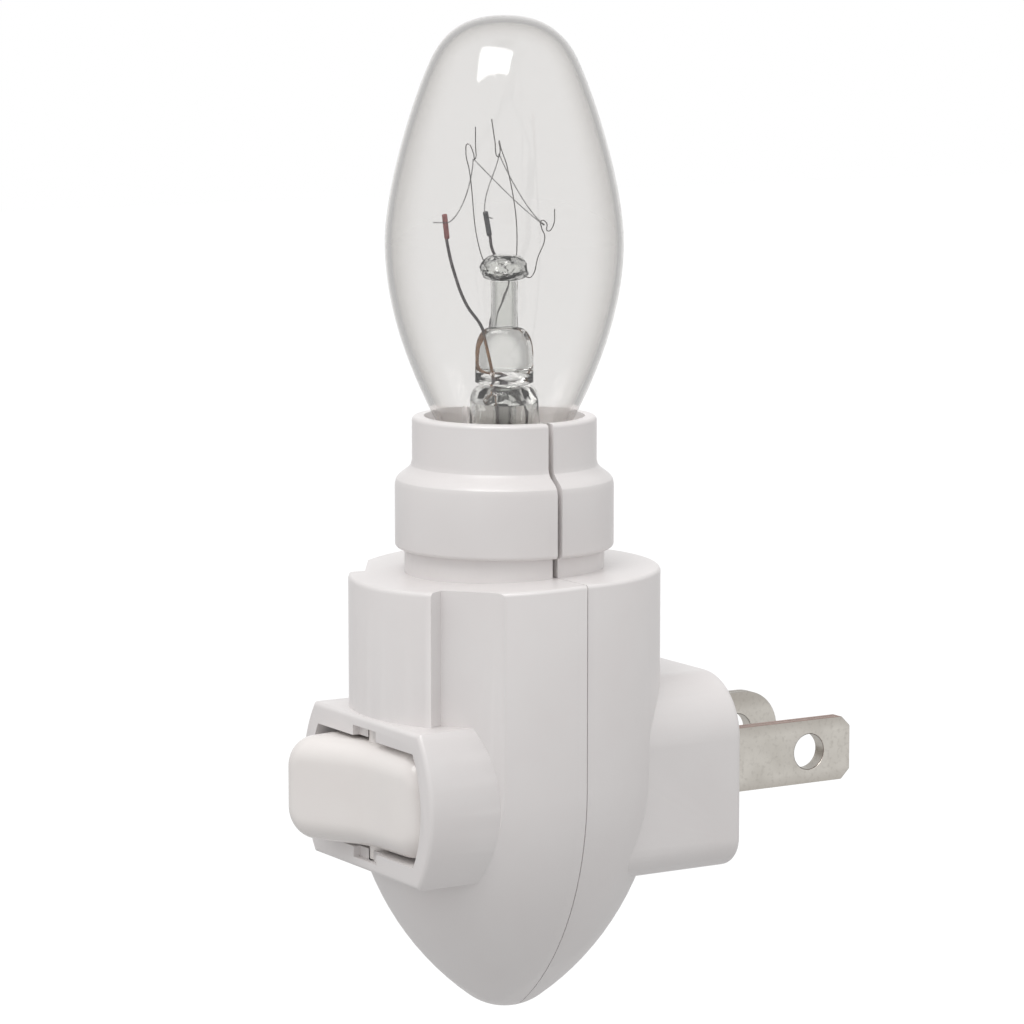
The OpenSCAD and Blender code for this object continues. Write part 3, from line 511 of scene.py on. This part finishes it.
shape = turned([(3.3, -0.6), (4.6, 0.3), (5.5, 0.95), (5.85, 1.35)]
               + [(CAP_R, 1.6 + 0.2 * i) for i in range(48)] + [(6.05, 11.3), (6.25, 11.8)])
roll_thread(shape, THREAD, bottom=1.5, top=9.2)
bmesh.ops.solidify(shape, geom=shape.faces[:], thickness=CAP_SHEET)
cap = add_piece(shape, "screw_cap", [aluminium], "bulb", LAMP)
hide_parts("cap_shell")

# Basing cement, baked brown and grainy.
cement, shader = new_material("baked basing cement", Roughness=0.85)
place = add(cement, "TexCoord").outputs["Object"]
grit = add(cement, "TexNoise", {"Vector": place, "Scale": 1 / (0.3 * MM), "Detail": 5.0})
tone = add(cement, "Mix", {"Factor": grit.outputs["Fac"], "A": linear("#8C7450"),
                           "B": linear("#B9A27C")}, data_type="RGBA")
drive(cement, shader, "Base Color", tone.outputs["Result"])
bump = add(cement, "Bump", {"Height": grit.outputs["Fac"], "Strength": 0.6,
                            "Distance": 0.05 * MM})
drive(cement, shader, "Normal", bump.outputs["Normal"])

shape = turned([(5.41, 5.2), (5.55, 5), (5.6, 6), (5.6, 10.6), (5.5, 10.85), (5.41, 10.7)],
               closed=True)
ring = add_piece(shape, "cement_ring", [cement], "bulb", LAMP)
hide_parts("cap_cement")

# Black glass, pressed while soft: deep gloss with small ripples.
black_glass, shader = new_material("pressed black glass", Roughness=0.12)
place = add(black_glass, "TexCoord").outputs["Object"]
ripple = add(black_glass, "TexNoise", {"Vector": place, "Scale": 1 / (1.2 * MM), "Detail": 2.0})
tone = add(black_glass, "Mix", {"Factor": ripple.outputs["Fac"], "A": linear("#0B0B0D"),
                                "B": linear("#1B1A1E")}, data_type="RGBA")
drive(black_glass, shader, "Base Color", tone.outputs["Result"])
bump = add(black_glass, "Bump", {"Height": ripple.outputs["Fac"], "Strength": 0.4,
                                 "Distance": 0.05 * MM})
drive(black_glass, shader, "Normal", bump.outputs["Normal"])

shape = turned([(0, -1.5), (1.9, -1.5), (2.15, -1.42), (3.15, -0.9), (3.25, -0.75), (3.25, 0.4),
                (0, 0.4)])
insulator = add_piece(shape, "glass_insulator", [black_glass], "bulb", LAMP)
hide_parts("cap_insulator")

# Tin-lead solder on the contact plate: soft grey metal, wrinkled where it froze.
solder, shader = new_material("soft solder", Metallic=1.0, Roughness=0.34)
place = add(solder, "TexCoord").outputs["Object"]
wrinkle = add(solder, "TexNoise", {"Vector": place, "Scale": 1 / (0.8 * MM), "Detail": 3.0})
tone = add(solder, "Mix", {"Factor": wrinkle.outputs["Fac"], "A": linear("#9C9B9A"),
                           "B": linear("#C9C8C6")}, data_type="RGBA")
drive(solder, shader, "Base Color", tone.outputs["Result"])
bump = add(solder, "Bump", {"Height": wrinkle.outputs["Fac"], "Strength": 0.5,
                            "Distance": 0.08 * MM})
drive(solder, shader, "Normal", bump.outputs["Normal"])

shape = turned([(0, -1.55), (1.8, -1.55), (1.8, -1.65), (1.6, -1.82), (1.1, -1.95), (0.5, -1.99),
                (0, -2)])
tip = add_piece(shape, "solder_tip", [solder], "bulb_lift", AXIS)
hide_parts("cap_contact")

# ---------- Glass stem ----------
# Inside the bulb's neck: a flare of lead glass whose top is pinched flat round the two
# leads, the pump tube beside them, and a rod that ends in the bead of the support wires.

# Lead glass, worked in a flame: clear and faintly green, with slow waves in its surface.
stem_glass, shader = new_material("flame-worked lead glass", Roughness=0.03, IOR=1.52,
                                  Transmission_Weight=1.0)
shader.inputs["Base Color"].default_value = linear("#F1F2F0")
place = add(stem_glass, "TexCoord").outputs["Object"]
waves = add(stem_glass, "TexNoise", {"Vector": place, "Scale": 1 / (1.6 * MM), "Detail": 1.0})
bump = add(stem_glass, "Bump", {"Height": waves.outputs["Fac"], "Strength": 0.6,
                                "Distance": 0.15 * MM})
drive(stem_glass, shader, "Normal", bump.outputs["Normal"])


def curve_points(*knots, steps=16):
    """Points along a Bezier curve of (radius, height) handles."""
    return [(p.x, p.y) for p in interpolate_bezier(*[Vector(k) for k in knots], steps)]


# The flare's top closes in towards the press, and its bore ends in a rounded pocket.
FLARE_WALL = 0.6
flare_line = curve_points((4.75, 4.4), (4, 9), (3.5, 12), (3.3, 15.8))
shape = turned(flare_line + [(3.25, 16.4), (3.05, 17), (2.7, 17.35), (2.2, 17.45), (0, 17.45),
                             (0, 16.9), (0.8, 16.8), (1.7, 16.4), (2.4, 15.7)]
               + [(r - FLARE_WALL, z) for r, z in reversed(flare_line)], closed=True)
flare = add_piece(shape, "stem_flare_tube", [stem_glass], "bulb", LAMP)
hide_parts("stem_flare")

# The press is pinched from both sides above its foot, so it is about half as deep as wide.
PINCH, PINCH_FROM, PINCH_OVER = 0.46, 17.7, 1.2
shape = turned([(0, 17.6), (2.4, 17.6), (2.8, 17.8), (2.8, 18.2)]
               + curve_points((2.8, 18.2), (2.8, 19), (2.75, 19.6), (2.78, 20.6), steps=8)[1:]
               + curve_points((2.78, 20.6), (2.7, 22.3), (2.0, 23), (1.2, 23), steps=12)[1:]
               + [(0, 23)], steps=64)
for vert in shape.verts:
    vert.co.y *= 1 - PINCH * min(1, max(0, vert.co.z - PINCH_FROM) / PINCH_OVER)
press = add_piece(shape, "pinched_press", [stem_glass], "bulb", LAMP)
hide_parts("stem_press")

# The rod is drawn thin-walled, so that it doesn't bend the lead that is seen through it.
ROD_BORE = 0.9
shape = turned([(ROD_BORE, 23.05), (1.33, 23.05), (1.3, 23.6), (1.26, 25), (1.28, 26.6),
                (1.33, 27.35), (ROD_BORE, 27.35)], steps=48, closed=True)
rod = add_piece(shape, "glass_rod", [stem_glass], "bulb", LAMP)
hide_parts("stem_rod")

# The bead is lumpy, with three, five and eight soft lobes round it that twist as they rise.
BEAD_WALL = 0.45
shape = turned(curve_points((0.4, 27.4), (2.3, 27.4), (2.4, 28.2), (2.2, 28.7), steps=8)
               + curve_points((2.2, 28.7), (2.1, 29.6), (1.4, 30), (0.3, 29.8), steps=8)[1:],
               steps=48)
bmesh.ops.holes_fill(shape, edges=[e for e in shape.edges if e.is_boundary])
for vert in shape.verts:
    around, z = atan2(vert.co.y, vert.co.x), vert.co.z
    vert.co.xy *= (1 + 0.05 * sin(3 * around + z) + 0.04 * sin(5 * around - 4 * z)
                   + 0.03 * sin(8 * around + 7 * z))
bmesh.ops.solidify(shape, geom=shape.faces[:], thickness=BEAD_WALL)
bead = add_piece(shape, "support_glass_bead", [stem_glass], "bulb", LAMP)
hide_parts("support_bead")

shape = turned([(0.55, 3), (0.55, 17), (0.75, 17.5), (1.1, 17.5), (1.1, 2.3), (0.9, 2), (0, 2),
                (0, 2.6), (0.4, 2.7)], steps=48, closed=True)
pump_tube = add_piece(shape, "pump_tube", [stem_glass], "bulb", LAMP)
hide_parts("exhaust_tube")

# ---------- Leads ----------
# Two thin leads run up through the press. Their ends are beaten flat and folded over the
# filament's ends; the flame left one end red with copper oxide and the other black.

# Copper-clad nickel-iron lead wire: grey brown with darker oxide patches 1 mm long, and a
# copper sheen where the press sealed it in, from z = 38 to 42 mm in the light's frame.
lead_copper, shader = new_material("copper-clad lead wire", Metallic=1.0, Roughness=0.42)
place = add(lead_copper, "TexCoord").outputs["Object"]
oxide = add(lead_copper, "TexNoise", {"Vector": place, "Scale": 1 / (1.0 * MM), "Detail": 4.0})
bare = add(lead_copper, "Mix", {"Factor": oxide.outputs["Fac"], "A": linear("#3E3A3B"),
                                "B": linear("#757072")}, data_type="RGBA")
sealed = add(lead_copper, "Mix", {"Factor": oxide.outputs["Fac"], "A": linear("#6A4A36"),
                                  "B": linear("#B58A62")}, data_type="RGBA")
height = add(lead_copper, "SeparateXYZ", {"Vector": place})
above = add(lead_copper, "MapRange", {"Value": height.outputs["Z"], "From Min": 41.5 * MM,
                                      "From Max": 43 * MM})
below = add(lead_copper, "MapRange", {"Value": height.outputs["Z"], "From Min": 38.9 * MM,
                                      "From Max": 37.9 * MM})
outside = add(lead_copper, "Math", {0: above.outputs["Result"], 1: below.outputs["Result"]},
              operation="MAXIMUM")
tone = add(lead_copper, "Mix", {"Factor": outside.outputs[0], "A": sealed.outputs["Result"],
                                "B": bare.outputs["Result"]}, data_type="RGBA")
drive(lead_copper, shader, "Base Color", tone.outputs["Result"])

# Cuprous oxide on the beaten end of one lead: dull dark red, scaly at 0.3 mm.
red_oxide, shader = new_material("copper oxide scale", Roughness=0.6, Metallic=0.4)
place = add(red_oxide, "TexCoord").outputs["Object"]
scale = add(red_oxide, "TexNoise", {"Vector": place, "Scale": 1 / (0.3 * MM), "Detail": 4.0})
tone = add(red_oxide, "Mix", {"Factor": scale.outputs["Fac"], "A": linear("#5A2B2A"),
                              "B": linear("#A06764")}, data_type="RGBA")
drive(red_oxide, shader, "Base Color", tone.outputs["Result"])

# Soot and black oxide on the other beaten end: nearly black, with grey scratches.
black_oxide, shader = new_material("black oxide scale", Roughness=0.55, Metallic=0.3)
place = add(black_oxide, "TexCoord").outputs["Object"]
scale = add(black_oxide, "TexNoise", {"Vector": place, "Scale": 1 / (0.25 * MM), "Detail": 4.0})
tone = add(black_oxide, "Mix", {"Factor": scale.outputs["Fac"], "A": linear("#1E1E20"),
                                "B": linear("#6A6A6D")}, data_type="RGBA")
drive(black_oxide, shader, "Base Color", tone.outputs["Result"])

LEAD_R = 0.15
CLAMP, CLAMP_ROUND = (0.5, 0.46, 2.4), 0.14    # the beaten ends' sizes and edge rounding
shape = bmesh.new()
for path in ([(-0.9, -1.4, 1), (-0.6, -1.4, 12), (-0.7, -1.3, 15.8), (-1, -0.8, 18.2),
              (-1.7, -0.7, 21.5), (-2.1, -0.2, 22.9), (-3.6, -0.6, 25.2), (-4.6, -1, 27.8),
              (-5.4, -1.2, 31.1), (-5.6, -1.2, 33)],
             [(2, 0.6, 1), (2, 0.5, 12), (1.9, 0.6, 16), (0.2, 0.7, 17.5), (-1.9, 0.7, 18.8),
              (-2.1, 0.6, 20.6), (-1.4, 0.9, 22.6), (-1.2, 1.7, 23.7), (0, 1.9, 25.8),
              (0.6, 2.4, 27.5), (-1.1, 2.8, 30), (-1.4, 2.8, 31.6), (-1.7, 2.8, 33)]):
    draw_wire(shape, path, LEAD_R)
for spot, lean, scaled_by in (((-5.52, -1.2, 32.6), -6, 1), ((-1.62, 2.8, 32.6), -10, 2)):
    clamp = bmesh.ops.create_cube(shape, size=1, matrix=Matrix.Translation(spot)
                                  @ Matrix.Rotation(radians(lean), 4, "Y")
                                  @ Matrix.Diagonal((*CLAMP, 1)))["verts"]
    soft = bmesh.ops.bevel(shape, geom=list({e for v in clamp for e in v.link_edges}),
                           offset=CLAMP_ROUND, offset_type="OFFSET", affect="EDGES",
                           segments=3, profile=0.5, material=-1)
    for face in {f for v in soft["verts"] for f in v.link_faces}:
        face.material_index = scaled_by
leads = add_piece(shape, "lead_wire_pair", [lead_copper, red_oxide, black_oxide], "bulb", LAMP)
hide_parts("lead_wires")

# ---------- Filament supports ----------
# Three molybdenum wires, pushed into the bead while it was soft. Each is bent into a small
# hook at its top, which holds the filament's coil.

# Molybdenum wire: dark grey and drawn smooth.
molybdenum, shader = new_material("molybdenum wire", Metallic=1.0, Roughness=0.35)
place = add(molybdenum, "TexCoord").outputs["Object"]
streaks = add(molybdenum, "TexNoise", {"Vector": place, "Scale": 1 / (0.5 * MM), "Detail": 2.0})
tone = add(molybdenum, "Mix", {"Factor": streaks.outputs["Fac"], "A": linear("#5E5D5C"),
                               "B": linear("#8E8C8A")}, data_type="RGBA")
drive(molybdenum, shader, "Base Color", tone.outputs["Result"])

SUPPORT_R = 0.055
shape = bmesh.new()
for path in ([(-1.5, -0.6, 28.5), (-2.2, -0.9, 30), (-3.3, -1.5, 38), (-3.6, -1.5, 39.6),
              (-3.4, -1.9, 40.4), (-2.9, -2.1, 39.6), (-2.75, -1.8, 39), (-2.7, -1.6, 40.4),
              (-2.7, -1.6, 42)],
             [(0.9, 1, 28.5), (1.2, 1.2, 30.1), (0.3, 1.5, 38), (-0.3, 1.6, 39.8),
              (-0.5, 2.1, 40.5), (-0.4, 2.3, 39.5), (-0.6, 1.9, 39), (-0.9, 1.6, 40.6),
              (-1.2, 1.6, 42.6)],
             [(1.6, 0, 28.2), (2.3, 0, 27.7), (2.6, 0, 27.8), (3.2, 0, 29.6), (3.85, 0, 31.6),
              (3.55, 0, 32.4), (3.55, -0.1, 33.1), (4, -0.2, 32.9), (4.15, 0, 32.1),
              (4.6, 0, 32.5), (4.8, 0, 34.2)]):
    draw_wire(shape, path, SUPPORT_R)
hooks = add_piece(shape, "support_hooks", [molybdenum], "bulb", LAMP)
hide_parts("support_wires")

# ---------- Filament ----------
# A fine helix of tungsten wire hung in a zigzag over the hooks and clamped in the leads.
# The real turns are too fine to show, so they are drawn 0.08 mm apart.

# Tungsten: mid grey metal, drawn fine and slightly burnt.
tungsten, shader = new_material("tungsten wire", Metallic=1.0, Roughness=0.4)
place = add(tungsten, "TexCoord").outputs["Object"]
grain = add(tungsten, "TexNoise", {"Vector": place, "Scale": 1 / (0.2 * MM), "Detail": 2.0})
tone = add(tungsten, "Mix", {"Factor": grain.outputs["Fac"], "A": linear("#5A5858"),
                             "B": linear("#838180")}, data_type="RGBA")
drive(tungsten, shader, "Base Color", tone.outputs["Result"])

zigzag = []
for span in (((-6.7, -1.4, 33), (-6.2, -1.5, 33), (-5.8, -1.5, 33), (-5.3, -1.6, 33)),
             ((-5.3, -1.6, 33), (-4.2, -1.7, 33.5), (-3.1, -1.9, 36.2), (-2.9, -1.9, 39)),
             ((-2.9, -1.9, 39), (-0.9, -1.4, 36.9), (1.3, -0.9, 34.6), (3.2, -0.4, 33.1)),
             ((3.2, -0.4, 33.1), (4, -0.1, 32.5), (4, 0.3, 32.5), (3.1, 0.5, 33.3)),
             ((3.1, 0.5, 33.3), (2, 0.8, 34.5), (0.5, 1.4, 37), (-0.5, 1.9, 39.3)),
             ((-0.5, 1.9, 39.3), (-0.7, 2, 37.6), (-2, 2.3, 35.9), (-1.9, 2.4, 33.7)),
             ((-1.9, 2.4, 33.7), (-1.8, 2.5, 33.3), (-1.4, 2.7, 33.1), (-1, 2.9, 33.1))):
    zigzag += interpolate_bezier(*[Vector(p) for p in span], 14)[:-1]
COIL_R, COIL_WIRE_R, COIL_STEP, TURN_STEPS = 0.06, 0.018, 0.08, 8
NO_SPAN = Vector((0.25, 0.95, 0.12))   # a direction that none of the spans takes
helix, turns = [], 0.0
for a, b in zip(zigzag, zigzag[1:]):
    run = b - a
    side = run.cross(NO_SPAN).normalized()
    rise = run.cross(side).normalized()
    count = max(1, round(run.length / COIL_STEP * TURN_STEPS))
    for i in range(count):
        angle = tau * turns
        helix.append(a + run * i / count + COIL_R * (side * cos(angle) + rise * sin(angle)))
        turns += 1 / TURN_STEPS
shape = bmesh.new()
draw_wire(shape, helix, COIL_WIRE_R, smooth=False, detail=0)
filament = add_piece(shape, "tungsten_coil_filament", [tungsten], "bulb", LAMP)
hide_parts("filament")

# ---------- Glass bulb ----------
# The lamp's clear envelope: soda-lime glass blown in a candle-shaped mould, with a
# flattened tip and a narrow neck that is cemented into the cap.

# Blown soda-lime glass: clear with a faint grey that shows where the wall is seen edge on,
# and long shallow waves left by the mould.
bulb_glass, shader = new_material("blown soda-lime glass", Roughness=0.0, IOR=1.5,
                                  Transmission_Weight=1.0)
place = add(bulb_glass, "TexCoord").outputs["Object"]
grazing = add(bulb_glass, "LayerWeight", {"Blend": 0.5})
thick = add(bulb_glass, "MapRange", {"Value": grazing.outputs["Facing"], "From Min": 0.3,
                                     "From Max": 0.95})
tone = add(bulb_glass, "Mix", {"Factor": thick.outputs["Result"], "A": linear("#F1F0EF"),
                               "B": linear("#DEDAD6")}, data_type="RGBA")
drive(bulb_glass, shader, "Base Color", tone.outputs["Result"])
waves = add(bulb_glass, "TexNoise", {"Vector": place, "Scale": 1 / (9 * MM), "Detail": 1.0})
bump = add(bulb_glass, "Bump", {"Height": waves.outputs["Fac"], "Strength": 0.15,
                                "Distance": 0.1 * MM})
drive(bulb_glass, shader, "Normal", bump.outputs["Normal"])

GLASS_R, NECK_R, GLASS_WALL, TOP = 11.38, 5.4, 0.6, 52.5
knuckle = Vector((6.74, 48.79))        # where the flattened tip turns into the cone
slope = Vector((sin(radians(28)), -cos(radians(28))))
belly = (GLASS_R, 31)
candle = (curve_points((0, TOP), (2.3, TOP), knuckle - 3.6 * slope, knuckle, steps=24)
          + curve_points(knuckle, knuckle + 3.2 * slope, (GLASS_R, 36.6), belly, steps=32)[1:]
          + curve_points(belly, (GLASS_R, 24), (8.5, 17.5), (NECK_R, 11.8), steps=32)[1:]
          + [(NECK_R, 8), (NECK_R, 4)])
shape = turned(candle, steps=128)
bmesh.ops.solidify(shape, geom=shape.faces[:], thickness=GLASS_WALL)
envelope = add_piece(shape, "glass_envelope", [bulb_glass], "bulb", LAMP)
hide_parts("bulb_glass")

# Clear glass lets the light through to what is inside it and behind it.
for clear in (envelope, flare, press, rod, bead, pump_tube):
    clear.visible_shadow = clear.visible_diffuse = False

# ---------- Floor, lights and camera ----------
# The light stays where its outlet would hold it, with a pale paper floor well below it and a
# white surround. A softbox hangs high on the camera's left, with a window card beside it.

FLOOR_HALF, FLOOR_Z = 3.0, -0.16       # metres, as all that follows
floor_shape = bmesh.new()
bmesh.ops.create_grid(floor_shape, x_segments=1, y_segments=1, size=FLOOR_HALF)
bmesh.ops.translate(floor_shape, verts=floor_shape.verts, vec=(0, 0, FLOOR_Z))
floor_mesh = bpy.data.meshes.new("floor")
floor_shape.to_mesh(floor_mesh)
floor_shape.free()
floor = bpy.data.objects.new("floor", floor_mesh)
bpy.context.scene.collection.objects.link(floor)
BACKDROP = (-0.854, 0.52, 0.0)      # the way the camera looks, level


def studio(owner, direction):
    """How bright the studio is that way: white behind the light, greyer to its sides."""
    unit = add(owner, "VectorMath", {0: direction}, operation="NORMALIZE")
    ahead = add(owner, "VectorMath", {0: unit.outputs["Vector"], 1: BACKDROP},
                operation="DOT_PRODUCT").outputs["Value"]
    room = add(owner, "MapRange", {"Value": ahead, "From Min": 0.2, "From Max": 0.6,
                                   "To Min": 0.85, "To Max": 0.58}, interpolation_type="SMOOTHSTEP")
    screen = add(owner, "MapRange", {"Value": ahead, "From Min": 0.9, "From Max": 0.985},
                 interpolation_type="SMOOTHSTEP")
    return add(owner, "Mix", {"Factor": screen.outputs["Result"], "A": room.outputs["Result"],
                              "B": 1.0}).outputs["Result"]


# Matt white paper. It returns a soft light to the object; seen straight it is plain white,
# and in metal or through glass it is as bright as the studio behind it.
paper = bpy.data.materials.new("white backdrop paper")
paper.use_nodes = True
paper.node_tree.nodes.clear()
place = add(paper, "TexCoord").outputs["Object"]
rays = add(paper, "LightPath")
RETURNED = 0.41            # what the paper gives back by itself
PAPER_WHITE = 1.05         # just past white, so that no edge of the floor shows
level = add(paper, "Mix", {"Factor": rays.outputs["Is Camera Ray"], "A": studio(paper, place),
                           "B": PAPER_WHITE}).outputs["Result"]
needed = add(paper, "Math", {0: level, 1: RETURNED}, operation="SUBTRACT").outputs[0]
indirect = add(paper, "Math", {0: 1.0, 1: rays.outputs["Is Diffuse Ray"]}, operation="SUBTRACT")
strength = add(paper, "Math", {0: needed, 1: indirect.outputs[0]}, operation="MULTIPLY")
matt = add(paper, "BsdfDiffuse", {"Color": linear("#A4A4A4")})
glow = add(paper, "Emission", {"Color": (1, 1, 1, 1), "Strength": strength.outputs[0]})
both = add(paper, "AddShader", {0: matt.outputs[0], 1: glow.outputs[0]})
add(paper, "OutputMaterial", {"Surface": both.outputs[0]})
floor_mesh.materials.append(paper)

world = bpy.data.worlds.new("studio")
bpy.context.scene.world = world
world.use_nodes = True
world.node_tree.nodes.clear()
place = add(world, "TexCoord").outputs["Generated"]
rays = add(world, "LightPath")
upward = add(world, "SeparateXYZ", {"Vector": place}).outputs["Z"]
ceiling = add(world, "MapRange", {"Value": upward, "To Min": 0.73, "To Max": 1.3})
lit = add(world, "Mix", {"Factor": rays.outputs["Is Diffuse Ray"], "A": studio(world, place),
                         "B": ceiling.outputs["Result"]})
level = add(world, "Mix", {"Factor": rays.outputs["Is Camera Ray"], "A": lit.outputs["Result"],
                           "B": 1.0})
white = add(world, "Background", {"Color": (1, 1, 1, 1), "Strength": level.outputs["Result"]})
add(world, "OutputWorld", {"Surface": white.outputs[0]})

middle = Vector((0, AXIS_Y * MM, 0.02))


def from_middle(azimuth, elevation, distance):
    """A place and an attitude that face the light from a compass direction."""
    a, e = radians(azimuth), radians(elevation)
    towards = Vector((sin(a) * cos(e), -cos(a) * cos(e), sin(e)))
    turn = towards.to_track_quat("Z", "Y").to_matrix().to_4x4()
    return Matrix.Translation(middle + distance * towards) @ turn


key = bpy.data.lights.new("key softbox", "AREA")
key.size = 0.3
key.energy = 1.1                       # watts
lamp = bpy.data.objects.new("key softbox", key)
lamp.matrix_world = from_middle(28, 58, 0.7)
lamp.visible_glossy = False
bpy.context.scene.collection.objects.link(lamp)

# The window that glass and polished plastic mirror: a bright card that lights nothing else.
card_shape = bmesh.new()
card_shape.faces.new([card_shape.verts.new(corner + (0,)) for corner in
                      ((-0.26, -0.2), (0.26, -0.12), (0.26, 0.15), (-0.26, 0.15))])
bmesh.ops.bevel(card_shape, geom=card_shape.verts[:], offset=0.05, offset_type="OFFSET",
                affect="VERTICES", segments=5, profile=0.5, material=-1)
bmesh.ops.transform(card_shape, matrix=from_middle(39, 58, 0.72), verts=card_shape.verts)
card_mesh = bpy.data.meshes.new("window card")
card_shape.to_mesh(card_mesh)
card_shape.free()
shine = bpy.data.materials.new("lit window")
shine.use_nodes = True
shine.node_tree.nodes.clear()
pane = add(shine, "Emission", {"Color": (1, 1, 1, 1), "Strength": 6.0})
add(shine, "OutputMaterial", {"Surface": pane.outputs[0]})
card_mesh.materials.append(shine)
card = bpy.data.objects.new("window card", card_mesh)
card.visible_diffuse = card.visible_shadow = card.visible_camera = False
bpy.context.scene.collection.objects.link(card)

camera_data = bpy.data.cameras.new("camera")
camera_data.sensor_width = 36.0
camera_data.lens = 148.04
camera_data.clip_start = 0.01
camera = bpy.data.objects.new("camera", camera_data)
yaw, pitch = radians(58.68), radians(7.85)
forward = Vector((-sin(yaw) * cos(pitch), cos(yaw) * cos(pitch), -sin(pitch)))
camera.location = (0.3421, -0.2269, 0.0805)
camera.rotation_euler = forward.to_track_quat("-Z", "Y").to_euler()
bpy.context.scene.collection.objects.link(camera)
bpy.context.scene.camera = camera

bpy.context.scene.view_settings.view_transform = "Standard"
